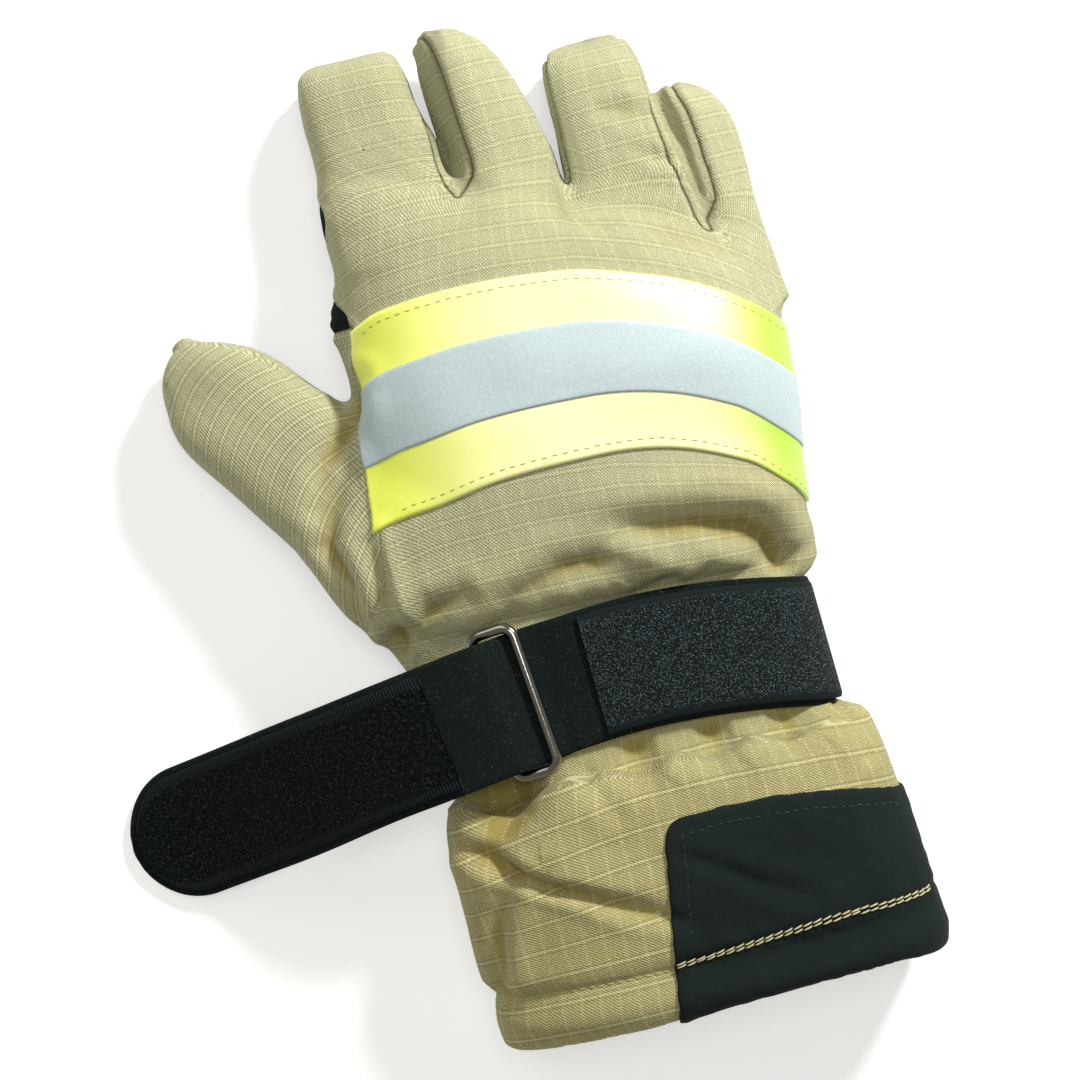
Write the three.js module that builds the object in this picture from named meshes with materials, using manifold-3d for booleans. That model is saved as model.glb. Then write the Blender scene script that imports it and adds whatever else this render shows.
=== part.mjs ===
// A structural firefighter's glove for the right hand, lying palm down with its wrist strap undone.
// Millimetres. +Z is up, +Y points to the fingertips and +X to the little finger's side. The origin is
// under the middle of the palm, on the surface that the glove lies on.
import * as THREE from "three";
import { mergeVertices } from "three/addons/utils/BufferGeometryUtils.js";
import Module from "manifold-3d";

const wasm = await Module();
wasm.setup();

// Hand and cuff
const PALM_TO_WRIST = 72; // origin to the wrist seam
const HAND_LENGTH = 135; // wrist seam to the finger crotches, on the middle line
const HAND_WIDTH = 120; // across the knuckles
const HAND_HEIGHT = 50; // at the middle of the back
const WRIST_WIDTH = 104; // where the strap gathers it
const WRIST_HEIGHT = 38;
const WRIST_LIFT = 5; // the gathered wrist clears the surface by this
const CUFF_LENGTH = 94; // wrist seam to the hem
const CUFF_WIDTH = 128;
const CUFF_HEIGHT = 50;
const WALL = 3; // shell cloth or leather with the quilted liner behind it
const KNUCKLE_SKEW = 20; // degrees that the finger roots step back towards the little finger
const PALM_SEAM_Z = 13; // height of the seam between the back and the leather palm

// Fingers and thumb
const FINGER_LENGTH = 50; // the middle finger, from the line of the crotches
const FINGER_WIDTH = 28;
const FINGER_HEIGHT = 24;
const FINGER_ROOT = 24; // how far a finger's tube runs back into the hand
const FORCHETTE_TOP = 0.62; // its upper seam, as a share of the finger's half height
const FORCHETTE_END = 0.93; // share of the finger's length
const SIDE_BAND = WALL + 1; // depth of the side wall that a forchette takes up
const SIDE_REACH = 1.5; // how far the band's cutting solid stands out of the finger
const WEB_LENGTH = 9; // how far a forchette's middle reaches each way from the crotch
const THUMB_LENGTH = 84;
const THUMB_WIDTH = 39;
const THUMB_HEIGHT = 31;
const THUMB_LEAN = 38; // degrees from the hand's length
const THUMB_DROP = 0.05; // fall towards its tip, as a share of its length
const THUMB_SEAM_Z = 12;

// Clearances
const SEAM_GAP = 0.4; // between panels that are sewn edge to edge
const LAYER_GAP = 0.3; // between layers that lie on each other

// Reflective tape
const TAPE_WIDTH = 53;
const TAPE_THICKNESS = 0.8;
const SILVER_FROM = 0.29; // the silver stripe's edges, as shares of the tape's width from its front edge
const SILVER_TO = 0.685;
const SILVER_THICKNESS = 0.4;
const TAPE_END_Z = 16; // height at which the tape ends on the little finger's side

// Wrist strap, patches and ring
const STRAP_WIDTH = 36;
const STRAP_THICKNESS = 2.2;
const STRAP_BOW = 7.5; // how far the strap lies back at the edge of the wrist
const STRAP_STRAIGHT = 30; // beyond this on the thumb's side the strap runs straight
const STRAP_FREE = 116; // reach of the free end beyond the ring, in plan
const STRAP_CENTRE = 68; // origin to the strap's middle line
const STRAP_SEAT = 43; // length of the gathered wrist
const PATCH_THICKNESS = 1.6;
const PATCH_MARGIN = 2;
const HOOK_WIDTH = 31;
const HOOK_LENGTH = 62.5; // in plan, from its left end to the edge of the wrist
const PILE_LENGTH = 88;
const RING_WIRE = 3;
const RING_PLAY = 0.8; // at each edge of the strap
const RING_WIDTH = 15.5; // outside, across it
const RING_CORNER = 5;
const RING_X = -39; // middle of the ring, from the middle line
const TAB_THICKNESS = 1.3;
const TAB_TAIL = 10; // length of the tab's folded end
const TAB_TAIL_DIP = 1.2; // and how far it drops
const TAB_START = 2.95; // radians round the wrist at which the tab is sewn on
const TAB_STEP = 0.1; // radians
const TAB_TURN_STEPS = 7; // round the ring's bar
const TAB_LEAN_FADE = 4;
const SEWN_END = -2.0; // radians round the wrist at which the strap is sewn down
const LEAN_FADE = 8; // length over which the strap turns to lie square to its slope
const DECK_REACH = 0.1; // where the strap passes through the ring, as a share of RING_WIDTH from its middle
const DECK_SHARE = 0.62; // its height there, as a share from the wrist up to the ring's tab

// Leather patch on the cuff
const CUFF_PATCH_LENGTH = 53;
const CUFF_PATCH_THICKNESS = 1.3;
const CUFF_PATCH_CORNER = 5;
const CUFF_PATCH_LEFT = -0.045; // its front left corner, as a share of CUFF_WIDTH from the middle line
const CUFF_PATCH_LEAN = 0.14; // how far its left edge runs outwards for each millimetre towards the hem
const HEM_FOLD = 17; // how far the hem and the patch are turned in
const CUFF_PATCH_LOWEST = 8; // the patch ends this high on the little finger's side

const FAR = 400; // reach of a cutting solid

// Sections. The powers make their outlines fuller than an ellipse.
const WIDEST = 0.46; // height of the body's widest place, as a share of the section's height
const PRESS = 1.06; // how far the underside would bulge if nothing pressed it flat
const TOP_POWER = 2 / 2.5;
const FOOT_POWER = 2 / 5;
const TUBE_POWER = 2 / 3.4;
const THINNEST = 0.5; // half width that a tube keeps inside its lining

// How finely the round forms are divided
const BODY_SIDES = 36;
const BODY_LINING_SIDES = 24;
const FINGER_SIDES = 16;
const FINGER_LINING_SIDES = 12;
const WIRE_SIDES = 8;
const STRAP_STEPS = 40;
const STRAP_ROWS = 72;

// The hand, from the wrist to the crotches: at is the share of HAND_LENGTH, left and right are shares of
// HAND_WIDTH from the middle line, top of HAND_HEIGHT, and skew of KNUCKLE_SKEW.
const HAND_SECTIONS = [
  { at: 0.207, left: 0.59, right: 0.437, top: 0.88, skew: 0 },
  { at: 0.26, left: 0.6, right: 0.443, top: 0.95, skew: 0.08 },
  { at: 0.33, left: 0.58, right: 0.45, top: 0.98, skew: 0.2 },
  { at: 0.45, left: 0.545, right: 0.462, top: 1.0, skew: 0.35 },
  { at: 0.6, left: 0.53, right: 0.485, top: 1.0, skew: 0.5 },
  { at: 0.75, left: 0.517, right: 0.502, top: 0.95, skew: 0.65 },
  { at: 0.88, left: 0.507, right: 0.497, top: 0.86, skew: 0.8 },
  { at: 0.96, left: 0.495, right: 0.492, top: 0.74, skew: 0.95 },
  { at: 1.0, left: 0.47, right: 0.465, top: 0.6, skew: 1.0 },
];

// The cuff, from the wrist to the hem: at is the share of CUFF_LENGTH, left and right are shares of
// CUFF_WIDTH, and top of CUFF_HEIGHT. The dip at 0.835 is the hem's stitched line.
const CUFF_SECTIONS = [
  { at: 0.27, left: 0.485, right: 0.43, top: 0.9 },
  { at: 0.37, left: 0.508, right: 0.461, top: 0.98 },
  { at: 0.5, left: 0.508, right: 0.468, top: 1.0 },
  { at: 0.65, left: 0.504, right: 0.475, top: 1.0 },
  { at: 0.77, left: 0.496, right: 0.479, top: 1.0 },
  { at: 0.835, left: 0.477, right: 0.479, top: 0.965 },
  { at: 0.91, left: 0.492, right: 0.494, top: 0.99 },
  { at: 0.97, left: 0.488, right: 0.49, top: 0.94 },
  { at: 1.0, left: 0.475, right: 0.477, top: 0.88 },
];
const WRIST_SHARES = { left: 0.58, right: 0.445 };

// x is the finger's place as a share of HAND_WIDTH, length, width and height are shares of the finger
// sizes, lean and roll are degrees to the thumb's side, tip is the width left at the tip, slant is how far
// its narrowing falls on the little finger's side, and lift is the height of the finger's middle at the
// root and at the tip, as shares of FINGER_HEIGHT.
const FINGERS = [
  {
    name: "index", x: -0.364, length: 0.735, width: 1.13, height: 1.0,
    lean: 1, roll: 0, tip: 0.8, slant: -0.2, lift: [0.74, 0.5],
  },
  {
    name: "middle", x: -0.061, length: 1.04, width: 0.96, height: 0.98,
    lean: 5.5, roll: 24, tip: 0.42, slant: 0.7, lift: [0.8, 0.66],
  },
  {
    name: "ring", x: 0.202, length: 1.01, width: 1.05, height: 1.0,
    lean: 2.5, roll: 0, tip: 0.72, slant: 0.2, lift: [0.74, 0.5],
  },
  {
    name: "little", x: 0.402, length: 0.86, width: 0.8, height: 0.86,
    lean: 5.5, roll: 40, tip: 0.45, slant: 0.5, lift: [0.72, 0.62],
  },
];
const ROOT_WIDTH = 0.7; // of the finger's width, at the hidden end inside the hand

// A finger from root to tip: width and top are shares of its width and height, and foot is how far its
// underside has risen. taper says how much of the finger's own narrowing has been reached.
const FINGER_SECTIONS = [
  { at: 0, taper: 0, top: 1, foot: 0 },
  { at: 0.55, taper: 0, top: 1, foot: 0 },
  { at: 0.72, taper: 0.12, top: 0.96, foot: 0 },
  { at: 0.85, taper: 0.32, top: 0.84, foot: 0.01 },
  { at: 0.94, taper: 0.62, top: 0.66, foot: 0.05 },
  { at: 0.985, taper: 0.85, top: 0.48, foot: 0.12 },
  { at: 1, taper: 1, top: 0.34, foot: 0.2 },
];
const THUMB_SECTIONS = [
  { at: 0, width: 1.16, top: 1.1, foot: 0 },
  { at: 0.3, width: 1.08, top: 1.05, foot: 0 },
  { at: 0.5, width: 1.0, top: 1.0, foot: 0 },
  { at: 0.68, width: 0.97, top: 0.93, foot: 0 },
  { at: 0.84, width: 0.86, top: 0.8, foot: 0.02 },
  { at: 0.94, width: 0.68, top: 0.62, foot: 0.08 },
  { at: 1, width: 0.42, top: 0.42, foot: 0.2 },
];
const THUMB_START = { x: -0.49, y: -0.16, z: 0.56 }; // shares of HAND_WIDTH, HAND_LENGTH and THUMB_HEIGHT

// The tape's front edge across the back of the hand: x is a share of HAND_WIDTH, y of HAND_LENGTH from
// the origin, and width of TAPE_WIDTH.
const TAPE_EDGE = [
  { x: -0.53, y: 0.255, width: 1.01 },
  { x: -0.49, y: 0.275, width: 1.02 },
  { x: -0.408, y: 0.3, width: 1.05 },
  { x: -0.247, y: 0.307, width: 1.01 },
  { x: -0.008, y: 0.293, width: 0.957 },
  { x: 0.19, y: 0.248, width: 0.91 },
  { x: 0.314, y: 0.2, width: 0.91 },
  { x: 0.4, y: 0.153, width: 0.965 },
  { x: 0.53, y: 0.06, width: 1.08 },
];

// The seam between the back and the thumb's panels, front to back: x is a share of HAND_WIDTH and y of
// HAND_LENGTH from the origin.
const THUMB_SEAM = [
  { x: -0.487, y: 0.29 },
  { x: -0.508, y: 0.12 },
  { x: -0.525, y: -0.1 },
  { x: -0.54, y: -0.22 },
  { x: -0.62, y: -0.33 },
];

// Hollows between the gathers on the upper side. x and width are shares of WRIST_WIDTH, y and length of
// HAND_LENGTH for the hand and of CUFF_LENGTH for the cuff, from the wrist seam, depth of HAND_HEIGHT, and
// heading is degrees from the glove's length.
const HAND_FOLDS = [
  { x: -0.5, y: 0.2, heading: -25, length: 0.2, width: 0.15, depth: 0.09 },
  { x: -0.13, y: 0.24, heading: 8, length: 0.26, width: 0.13, depth: 0.06 },
  { x: 0.16, y: 0.22, heading: 35, length: 0.2, width: 0.12, depth: 0.05 },
  { x: 0.36, y: 0.24, heading: 25, length: 0.24, width: 0.13, depth: 0.08 },
];
const CUFF_FOLDS = [
  { x: -0.42, y: 0.44, heading: 60, length: 0.5, width: 0.16, depth: 0.05 },
  { x: -0.05, y: 0.26, heading: 0, length: 0.2, width: 0.12, depth: 0.05 },
  { x: 0.17, y: 0.25, heading: 0, length: 0.18, width: 0.1, depth: 0.04 },
  { x: 0.36, y: 0.26, heading: -10, length: 0.2, width: 0.12, depth: 0.05 },
];
const FOLD_FADE = 8; // the folds die out over this length beside the strap

// The free end's drape: reach is the share of STRAP_FREE from the ring and height of the ring's height.
const DRAPE = [
  { reach: 1, height: 0.02 },
  { reach: 0.92, height: 0.03 },
  { reach: 0.8, height: 0.13 },
  { reach: 0.62, height: 0.4 },
  { reach: 0.45, height: 0.68 },
  { reach: 0.28, height: 0.9 },
  { reach: 0.16, height: 0.985 },
];

const CLOTH = new THREE.MeshStandardMaterial({ color: 0xb5a672, roughness: 0.9, metalness: 0 });
const LEATHER = new THREE.MeshStandardMaterial({ color: 0x1b2322, roughness: 0.85, metalness: 0 });
const LIME = new THREE.MeshStandardMaterial({ color: 0xe4fa4e, roughness: 0.6, metalness: 0 });
const SILVER = new THREE.MeshStandardMaterial({ color: 0xa9bcc2, roughness: 0.45, metalness: 0.3 });
const HOOK = new THREE.MeshStandardMaterial({ color: 0x202a31, roughness: 0.7, metalness: 0 });
const PILE = new THREE.MeshStandardMaterial({ color: 0x10171a, roughness: 0.95, metalness: 0 });
const STEEL = new THREE.MeshStandardMaterial({ color: 0x8a8580, roughness: 0.35, metalness: 1 });

const rad = THREE.MathUtils.degToRad;
// 1 below start, 0 above start + length
const rampDown = (value, start, length) => 1 - THREE.MathUtils.clamp((value - start) / length, 0, 1);
const bend = (value, power) => Math.sign(value) * Math.abs(value) ** power;

// Turns a closed geometry into a solid that can be cut and joined.
function solidOf(geometry) {
  const bare = new THREE.BufferGeometry().setAttribute("position", geometry.getAttribute("position"));
  bare.setIndex(geometry.index);
  const merged = mergeVertices(bare, 1e-4);
  return new wasm.Manifold(
    new wasm.Mesh({
      numProp: 3,
      vertProperties: merged.getAttribute("position").array,
      triVerts: new Uint32Array(merged.index.array),
    }),
  );
}

// A closed surface through rings of points; the first and last rings are capped, or joined if looped.
function loft(rings, looped = false) {
  const sides = rings[0].length;
  const points = rings.flat();
  const faces = [];
  const bands = looped ? rings.length : rings.length - 1;
  for (let band = 0; band < bands; band++) {
    const near = band * sides;
    const far = ((band + 1) % rings.length) * sides;
    for (let i = 0; i < sides; i++) {
      const j = (i + 1) % sides;
      faces.push(near + i, far + i, near + j, near + j, far + i, far + j);
    }
  }
  if (!looped) {
    for (const [ring, offset, turn] of [[rings[0], 0, 1], [rings.at(-1), points.length - sides, -1]]) {
      const middle = ring.reduce((sum, p) => sum.add(p), new THREE.Vector3()).divideScalar(sides);
      points.push(middle);
      for (let i = 0; i < sides; i++) {
        const pair = [offset + i, offset + ((i + 1) % sides)];
        faces.push(points.length - 1, ...(turn > 0 ? pair : pair.reverse()));
      }
    }
  }
  const geometry = new THREE.BufferGeometry().setFromPoints(points).setIndex(faces);
  const made = solidOf(geometry);
  if (made.volume() >= 0) return made;
  for (let i = 0; i < faces.length; i += 3) [faces[i], faces[i + 1]] = [faces[i + 1], faces[i]];
  return solidOf(geometry.setIndex(faces));
}

// A solid over a plan outline, between two heights.
function plan(points, low = -FAR, high = FAR) {
  const shape = new THREE.Shape(points);
  const settings = { depth: high - low, bevelEnabled: false, curveSegments: 6 };
  const geometry = new THREE.ExtrudeGeometry(shape, settings);
  return solidOf(geometry.translate(0, 0, low));
}
function box(x0, x1, y0, y1, z0, z1) {
  const geometry = new THREE.BoxGeometry(x1 - x0, y1 - y0, z1 - z0);
  return solidOf(geometry.translate((x0 + x1) / 2, (y0 + y1) / 2, (z0 + z1) / 2));
}
const join = (solids) => solids.reduce((sum, each) => sum.add(each));

// Hand and cuff share one row of sections, from the hem to the crotches.
const wristY = -PALM_TO_WRIST;
const crotchY = (x) => wristY + HAND_LENGTH - x * Math.tan(rad(KNUCKLE_SKEW));
const wristRow = (y) => ({
  y,
  left: WRIST_SHARES.left * WRIST_WIDTH,
  right: WRIST_SHARES.right * WRIST_WIDTH,
  top: WRIST_HEIGHT,
  bottom: WRIST_LIFT,
  skew: 0,
});
const seatMiddle = -STRAP_CENTRE - STRAP_BOW / 2;
const bodyRows = [
  ...CUFF_SECTIONS.toReversed().map(({ at, left, right, top }) => ({
    y: wristY - at * CUFF_LENGTH,
    left: left * CUFF_WIDTH,
    right: right * CUFF_WIDTH,
    top: top * CUFF_HEIGHT,
    bottom: 0,
    skew: 0,
  })),
  wristRow(seatMiddle - STRAP_SEAT / 2),
  wristRow(seatMiddle + STRAP_SEAT / 2),
  ...HAND_SECTIONS.map(({ at, left, right, top, skew }) => ({
    y: wristY + at * HAND_LENGTH,
    left: left * HAND_WIDTH,
    right: right * HAND_WIDTH,
    top: top * HAND_HEIGHT,
    bottom: 0,
    skew: skew * KNUCKLE_SKEW,
  })),
];
const folds = [
  ...HAND_FOLDS.map((fold) => ({ ...fold, base: HAND_LENGTH, y: fold.y * HAND_LENGTH })),
  ...CUFF_FOLDS.map((fold) => ({ ...fold, base: CUFF_LENGTH, y: -fold.y * CUFF_LENGTH })),
].map(({ x, y, heading, length, width, depth, base }) => ({
  middle: new THREE.Vector2(x * WRIST_WIDTH, wristY + y),
  heading: rad(heading),
  length: (length * base) / 2,
  width: (width * WRIST_WIDTH) / 2,
  depth: depth * HAND_HEIGHT,
}));
function foldDepth(x, y) {
  const fromSeat = Math.abs(y - seatMiddle) - STRAP_SEAT / 2;
  const share = THREE.MathUtils.smoothstep(fromSeat, 0, FOLD_FADE);
  const place = new THREE.Vector2(x, y);
  return folds.reduce((sum, { middle, heading, length, width, depth }) => {
    const { x: across, y: along } = place.clone().sub(middle).rotateAround(new THREE.Vector2(), -heading);
    return sum + share * depth * Math.exp(-((along / length) ** 2) - (across / width) ** 2);
  }, 0);
}

// One ring of the body, inset from its outside. The underside is pressed flat.
function bodyPoint(row, angle, inset) {
  const side = Math.cos(angle);
  const rise = Math.sin(angle);
  const middle = row.bottom + WIDEST * (row.top - row.bottom);
  const x = bend(side, rise > 0 ? TOP_POWER : FOOT_POWER) * ((side < 0 ? row.left : row.right) - inset);
  const up = rise > 0 ? row.top - middle : middle - row.bottom;
  const y = row.y - x * Math.tan(rad(row.skew));
  let z = middle + bend(rise, TOP_POWER) * (up - inset);
  if (rise < 0) z = Math.max(middle + bend(rise, FOOT_POWER) * (up - inset) * PRESS, row.bottom + inset);
  return new THREE.Vector3(x, y, z - Math.max(rise, 0) * foldDepth(x, y));
}
function bodyRing(row, inset) {
  const sides = inset > 0 ? BODY_LINING_SIDES : BODY_SIDES;
  return Array.from({ length: sides }, (_, i) => bodyPoint(row, ((i + 0.5) / sides) * 2 * Math.PI, inset));
}

// hem and front lengthen, or with a minus shorten, the two ends.
function body(inset, hem = 0, front = 0) {
  const first = bodyRows[0];
  const last = bodyRows.at(-1);
  const rows = bodyRows.filter((row) => row.y > first.y - hem && row.y < last.y + front);
  rows.unshift({ ...first, y: first.y - hem });
  rows.push({ ...last, y: last.y + front });
  return loft(rows.map((row) => bodyRing(row, inset)));
}

// A finger's frame: u runs across it, v out of its back and s along it, from the line of the crotches.
function fingerFrame(finger) {
  const x = finger.x * HAND_WIDTH;
  const length = finger.length * FINGER_LENGTH;
  const [rootLift, tipLift] = finger.lift.map((share) => share * FINGER_HEIGHT);
  const along = new THREE.Vector3(0, length, tipLift - rootLift).normalize();
  along.applyAxisAngle(new THREE.Vector3(0, 0, 1), rad(finger.lean));
  const across = new THREE.Vector3(0, 0, 1).cross(along).negate().normalize();
  const out = across.clone().cross(along);
  across.applyAxisAngle(along, rad(finger.roll));
  out.applyAxisAngle(along, rad(finger.roll));
  return {
    matrix: new THREE.Matrix4().makeBasis(across, along, out).setPosition(x, crotchY(x), rootLift),
    width: finger.width * FINGER_WIDTH,
    height: finger.height * FINGER_HEIGHT,
    length,
    tip: finger.tip,
    slant: finger.slant,
  };
}
const fingers = FINGERS.map((finger) => ({ ...finger, ...fingerFrame(finger) }));

// A closed tube of rounded box sections in a frame, flattened where it would go below the surface.
function tube(matrix, rows, inset) {
  const sides = inset > 0 ? FINGER_LINING_SIDES : FINGER_SIDES;
  const rings = rows.map((row) =>
    Array.from({ length: sides }, (_, i) => {
      const angle = ((i + 0.5) / sides) * 2 * Math.PI;
      const u = (row.u ?? 0) + bend(Math.cos(angle), TUBE_POWER) * Math.max(row.width / 2 - inset, THINNEST);
      const v = row.v + bend(Math.sin(angle), TUBE_POWER) * Math.max(row.height / 2 - inset, THINNEST);
      const point = new THREE.Vector3(u, row.s, v).applyMatrix4(matrix);
      point.z = Math.max(point.z, inset);
      return point;
    }),
  );
  return loft(rings);
}
function fingerTube(finger, inset) {
  const start = { s: inset - FINGER_ROOT, v: 0, width: finger.width * ROOT_WIDTH, height: finger.height };
  const rows = FINGER_SECTIONS.map(({ at, taper, top, foot }) => ({
    s: at * (finger.length - inset),
    u: (-finger.slant * taper * (1 - finger.tip) * finger.width) / 2,
    width: finger.width * (1 - taper * (1 - finger.tip)),
    height: finger.height * (top - foot),
    v: (finger.height * (top + foot - 1)) / 2,
  }));
  return tube(finger.matrix, [start, ...rows], inset);
}

const lean = rad(THUMB_LEAN);
const thumbAlong = new THREE.Vector3(-Math.sin(lean), Math.cos(lean), -THUMB_DROP).normalize();
const thumbAcross = new THREE.Vector3(0, 0, 1).cross(thumbAlong).negate().normalize();
const thumbMatrix = new THREE.Matrix4()
  .makeBasis(thumbAcross, thumbAlong, thumbAcross.clone().cross(thumbAlong))
  .setPosition(THUMB_START.x * HAND_WIDTH, THUMB_START.y * HAND_LENGTH, THUMB_START.z * THUMB_HEIGHT);
function thumbTube(inset) {
  const rows = THUMB_SECTIONS.map(({ at, width, top, foot }) => ({
    s: inset + at * (THUMB_LENGTH - 2 * inset),
    width: width * THUMB_WIDTH,
    height: (top - foot) * THUMB_HEIGHT,
    v: ((top + foot - 1) * THUMB_HEIGHT) / 2,
  }));
  return tube(thumbMatrix, rows, inset);
}

// The whole hollow glove, before it is cut into panels.
const gloveForm = (inset, hand) =>
  join([hand, ...fingers.map((finger) => fingerTube(finger, inset)), thumbTube(inset)]);
const shell = gloveForm(0, body(0)).subtract(gloveForm(WALL, body(WALL, FAR, -WALL)));

// Cutting solids. grow widens a region by half a seam's gap, and shrinks it with a minus.
const half = SEAM_GAP / 2;
const handSide = (grow) => box(-FAR, FAR, wristY - grow, FAR, -FAR, FAR);
const abovePalmSeam = (grow) => box(-FAR, FAR, -FAR, FAR, PALM_SEAM_Z - grow, FAR);
function thumbRegion(grow) {
  const seam = THUMB_SEAM.map(({ x, y }) => new THREE.Vector2(x * HAND_WIDTH + grow, y * HAND_LENGTH));
  const [front] = seam;
  const back = seam.at(-1);
  return plan([
    new THREE.Vector2(front.x, front.y + grow),
    ...seam.slice(1),
    new THREE.Vector2(-FAR, back.y - grow),
    new THREE.Vector2(-FAR, FAR),
    new THREE.Vector2(front.x - 0.12 * HAND_WIDTH, front.y + 0.3 * HAND_LENGTH),
    new THREE.Vector2(front.x - 0.06 * HAND_WIDTH, front.y + grow),
  ]);
}

// The band of a finger's side wall that a forchette covers.
function sideBand(finger, side, grow) {
  const inner = finger.width / 2 - SIDE_BAND;
  const top = (FORCHETTE_TOP * finger.height) / 2 + grow;
  const end = FORCHETTE_END * finger.length + grow;
  const start = -FINGER_ROOT / 3 - grow;
  const outer = finger.width / 2 + SIDE_REACH + grow;
  const geometry = new THREE.BoxGeometry(outer - inner + grow, end - start, FAR + top);
  geometry.translate((side * (inner - grow + outer)) / 2, (start + end) / 2, (top - FAR) / 2);
  return solidOf(geometry.applyMatrix4(finger.matrix));
}
function webBlock(near, far, grow) {
  const x = (near.x * HAND_WIDTH + near.width / 2 + far.x * HAND_WIDTH - far.width / 2) / 2;
  const reach = WEB_LENGTH / 2 + grow;
  const y = crotchY(x);
  return box(x - reach, x + reach, y - WEB_LENGTH - grow, y + WEB_LENGTH, -FAR, 2 * PALM_SEAM_Z + grow);
}
const pairs = fingers.slice(1).map((far, i) => [fingers[i], far]);
const forchetteRegion = ([near, far], grow) =>
  join([sideBand(near, 1, grow), sideBand(far, -1, grow), webBlock(near, far, grow)])
    .intersect(abovePalmSeam(grow));

const handShell = shell.intersect(handSide(-half));
const thumbShell = handShell.intersect(thumbRegion(-half));
const palmAndBack = handShell.subtract(thumbRegion(half));

export const glove = new THREE.Group();
function addPiece(name, made, material) {
  const body = made.decompose().sort((a, b) => b.volume() - a.volume())[0];
  const { vertProperties, triVerts } = body.getMesh();
  const geometry = new THREE.BufferGeometry();
  geometry.setAttribute("position", new THREE.BufferAttribute(vertProperties, 3));
  geometry.setIndex(new THREE.BufferAttribute(triVerts, 1));
  geometry.computeVertexNormals();
  const mesh = new THREE.Mesh(geometry, material);
  mesh.name = name;
  glove.add(mesh);
}

const betweenFingers = join(pairs.map((pair) => forchetteRegion(pair, half)));
addPiece("hand_back", palmAndBack.intersect(abovePalmSeam(-half)).subtract(betweenFingers), CLOTH);
addPiece("palm", palmAndBack.subtract(abovePalmSeam(half)), LEATHER);
for (const pair of pairs) {
  const [near, far] = pair;
  addPiece(`forchette_${near.name}_${far.name}`, palmAndBack.intersect(forchetteRegion(pair, -half)), CLOTH);
}
const aboveThumbSeam = (grow) => box(-FAR, FAR, -FAR, FAR, THUMB_SEAM_Z - grow, FAR);
addPiece("thumb_back", thumbShell.intersect(aboveThumbSeam(-half)), CLOTH);
addPiece("thumb_palm", thumbShell.subtract(aboveThumbSeam(half)), LEATHER);
addPiece("cuff", shell.subtract(handSide(half)), CLOTH);

// The tape is a layer on the back of the hand, cut to its arched outline. from and to are shares of its
// width, and lift is the layer's height above the cloth.
function tapeLayer(from, to, lift, thickness) {
  const edge = (share) =>
    new THREE.SplineCurve(
      TAPE_EDGE.map(
        ({ x, y, width }) => new THREE.Vector2(x * HAND_WIDTH, y * HAND_LENGTH - share * width * TAPE_WIDTH),
      ),
    ).getPoints(18);
  const outline = plan([...edge(from), ...edge(to).reverse()], TAPE_END_Z, FAR);
  return body(-lift - thickness).subtract(body(-lift)).intersect(outline).subtract(thumbRegion(half));
}
addPiece("tape_lime", tapeLayer(0, 1, LAYER_GAP, TAPE_THICKNESS), LIME);
addPiece(
  "tape_silver",
  tapeLayer(SILVER_FROM, SILVER_TO, 2 * LAYER_GAP + TAPE_THICKNESS, SILVER_THICKNESS),
  SILVER,
);

// The strap's line in the plane across the wrist, from the free tip over the ring and the wrist to its
// sewn end under the palm side. Points carry their outward normal.
const wrist = wristRow(wristY);
const wire = RING_WIRE / 2;
const surfaceZ = (x) => {
  let best = wrist.top;
  for (let angle = 0; angle <= Math.PI; angle += 0.01) {
    const p = bodyPoint(wrist, angle, 0);
    if (Math.abs(p.x - x) < 1) best = p.z;
  }
  return best;
};
// How far the strap's middle line lies behind the wrist's, at x, and how steeply it runs back there.
const straightSlope = (2 * STRAP_BOW * STRAP_STRAIGHT) / (0.5 * WRIST_WIDTH) ** 2;
const bowShare = (x) => STRAP_BOW * (x / (0.5 * WRIST_WIDTH)) ** 2;
function bow(x) {
  if (x > -STRAP_STRAIGHT) return -STRAP_CENTRE - bowShare(x);
  return -STRAP_CENTRE - bowShare(STRAP_STRAIGHT) + straightSlope * (x + STRAP_STRAIGHT);
}
const ringLength = STRAP_WIDTH + 2 * (RING_PLAY + RING_WIRE);
const barSpan = RING_WIDTH - RING_WIRE;
const seatUnder = (x) => surfaceZ(x + (straightSlope * ringLength) / 2);
const leftBarZ = seatUnder(RING_X - barSpan / 2) + TAB_THICKNESS + 2 * LAYER_GAP + wire;
const rightBarZ = seatUnder(RING_X + barSpan / 2) + STRAP_THICKNESS + 4 * LAYER_GAP + wire;
const ringTilt = Math.asin((leftBarZ - rightBarZ) / barSpan);
const leftBarX = RING_X - (barSpan / 2) * Math.cos(ringTilt);
const rightBarX = RING_X + (barSpan / 2) * Math.cos(ringTilt);
const tabTop = leftBarZ + wire + LAYER_GAP + TAB_THICKNESS;

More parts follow.
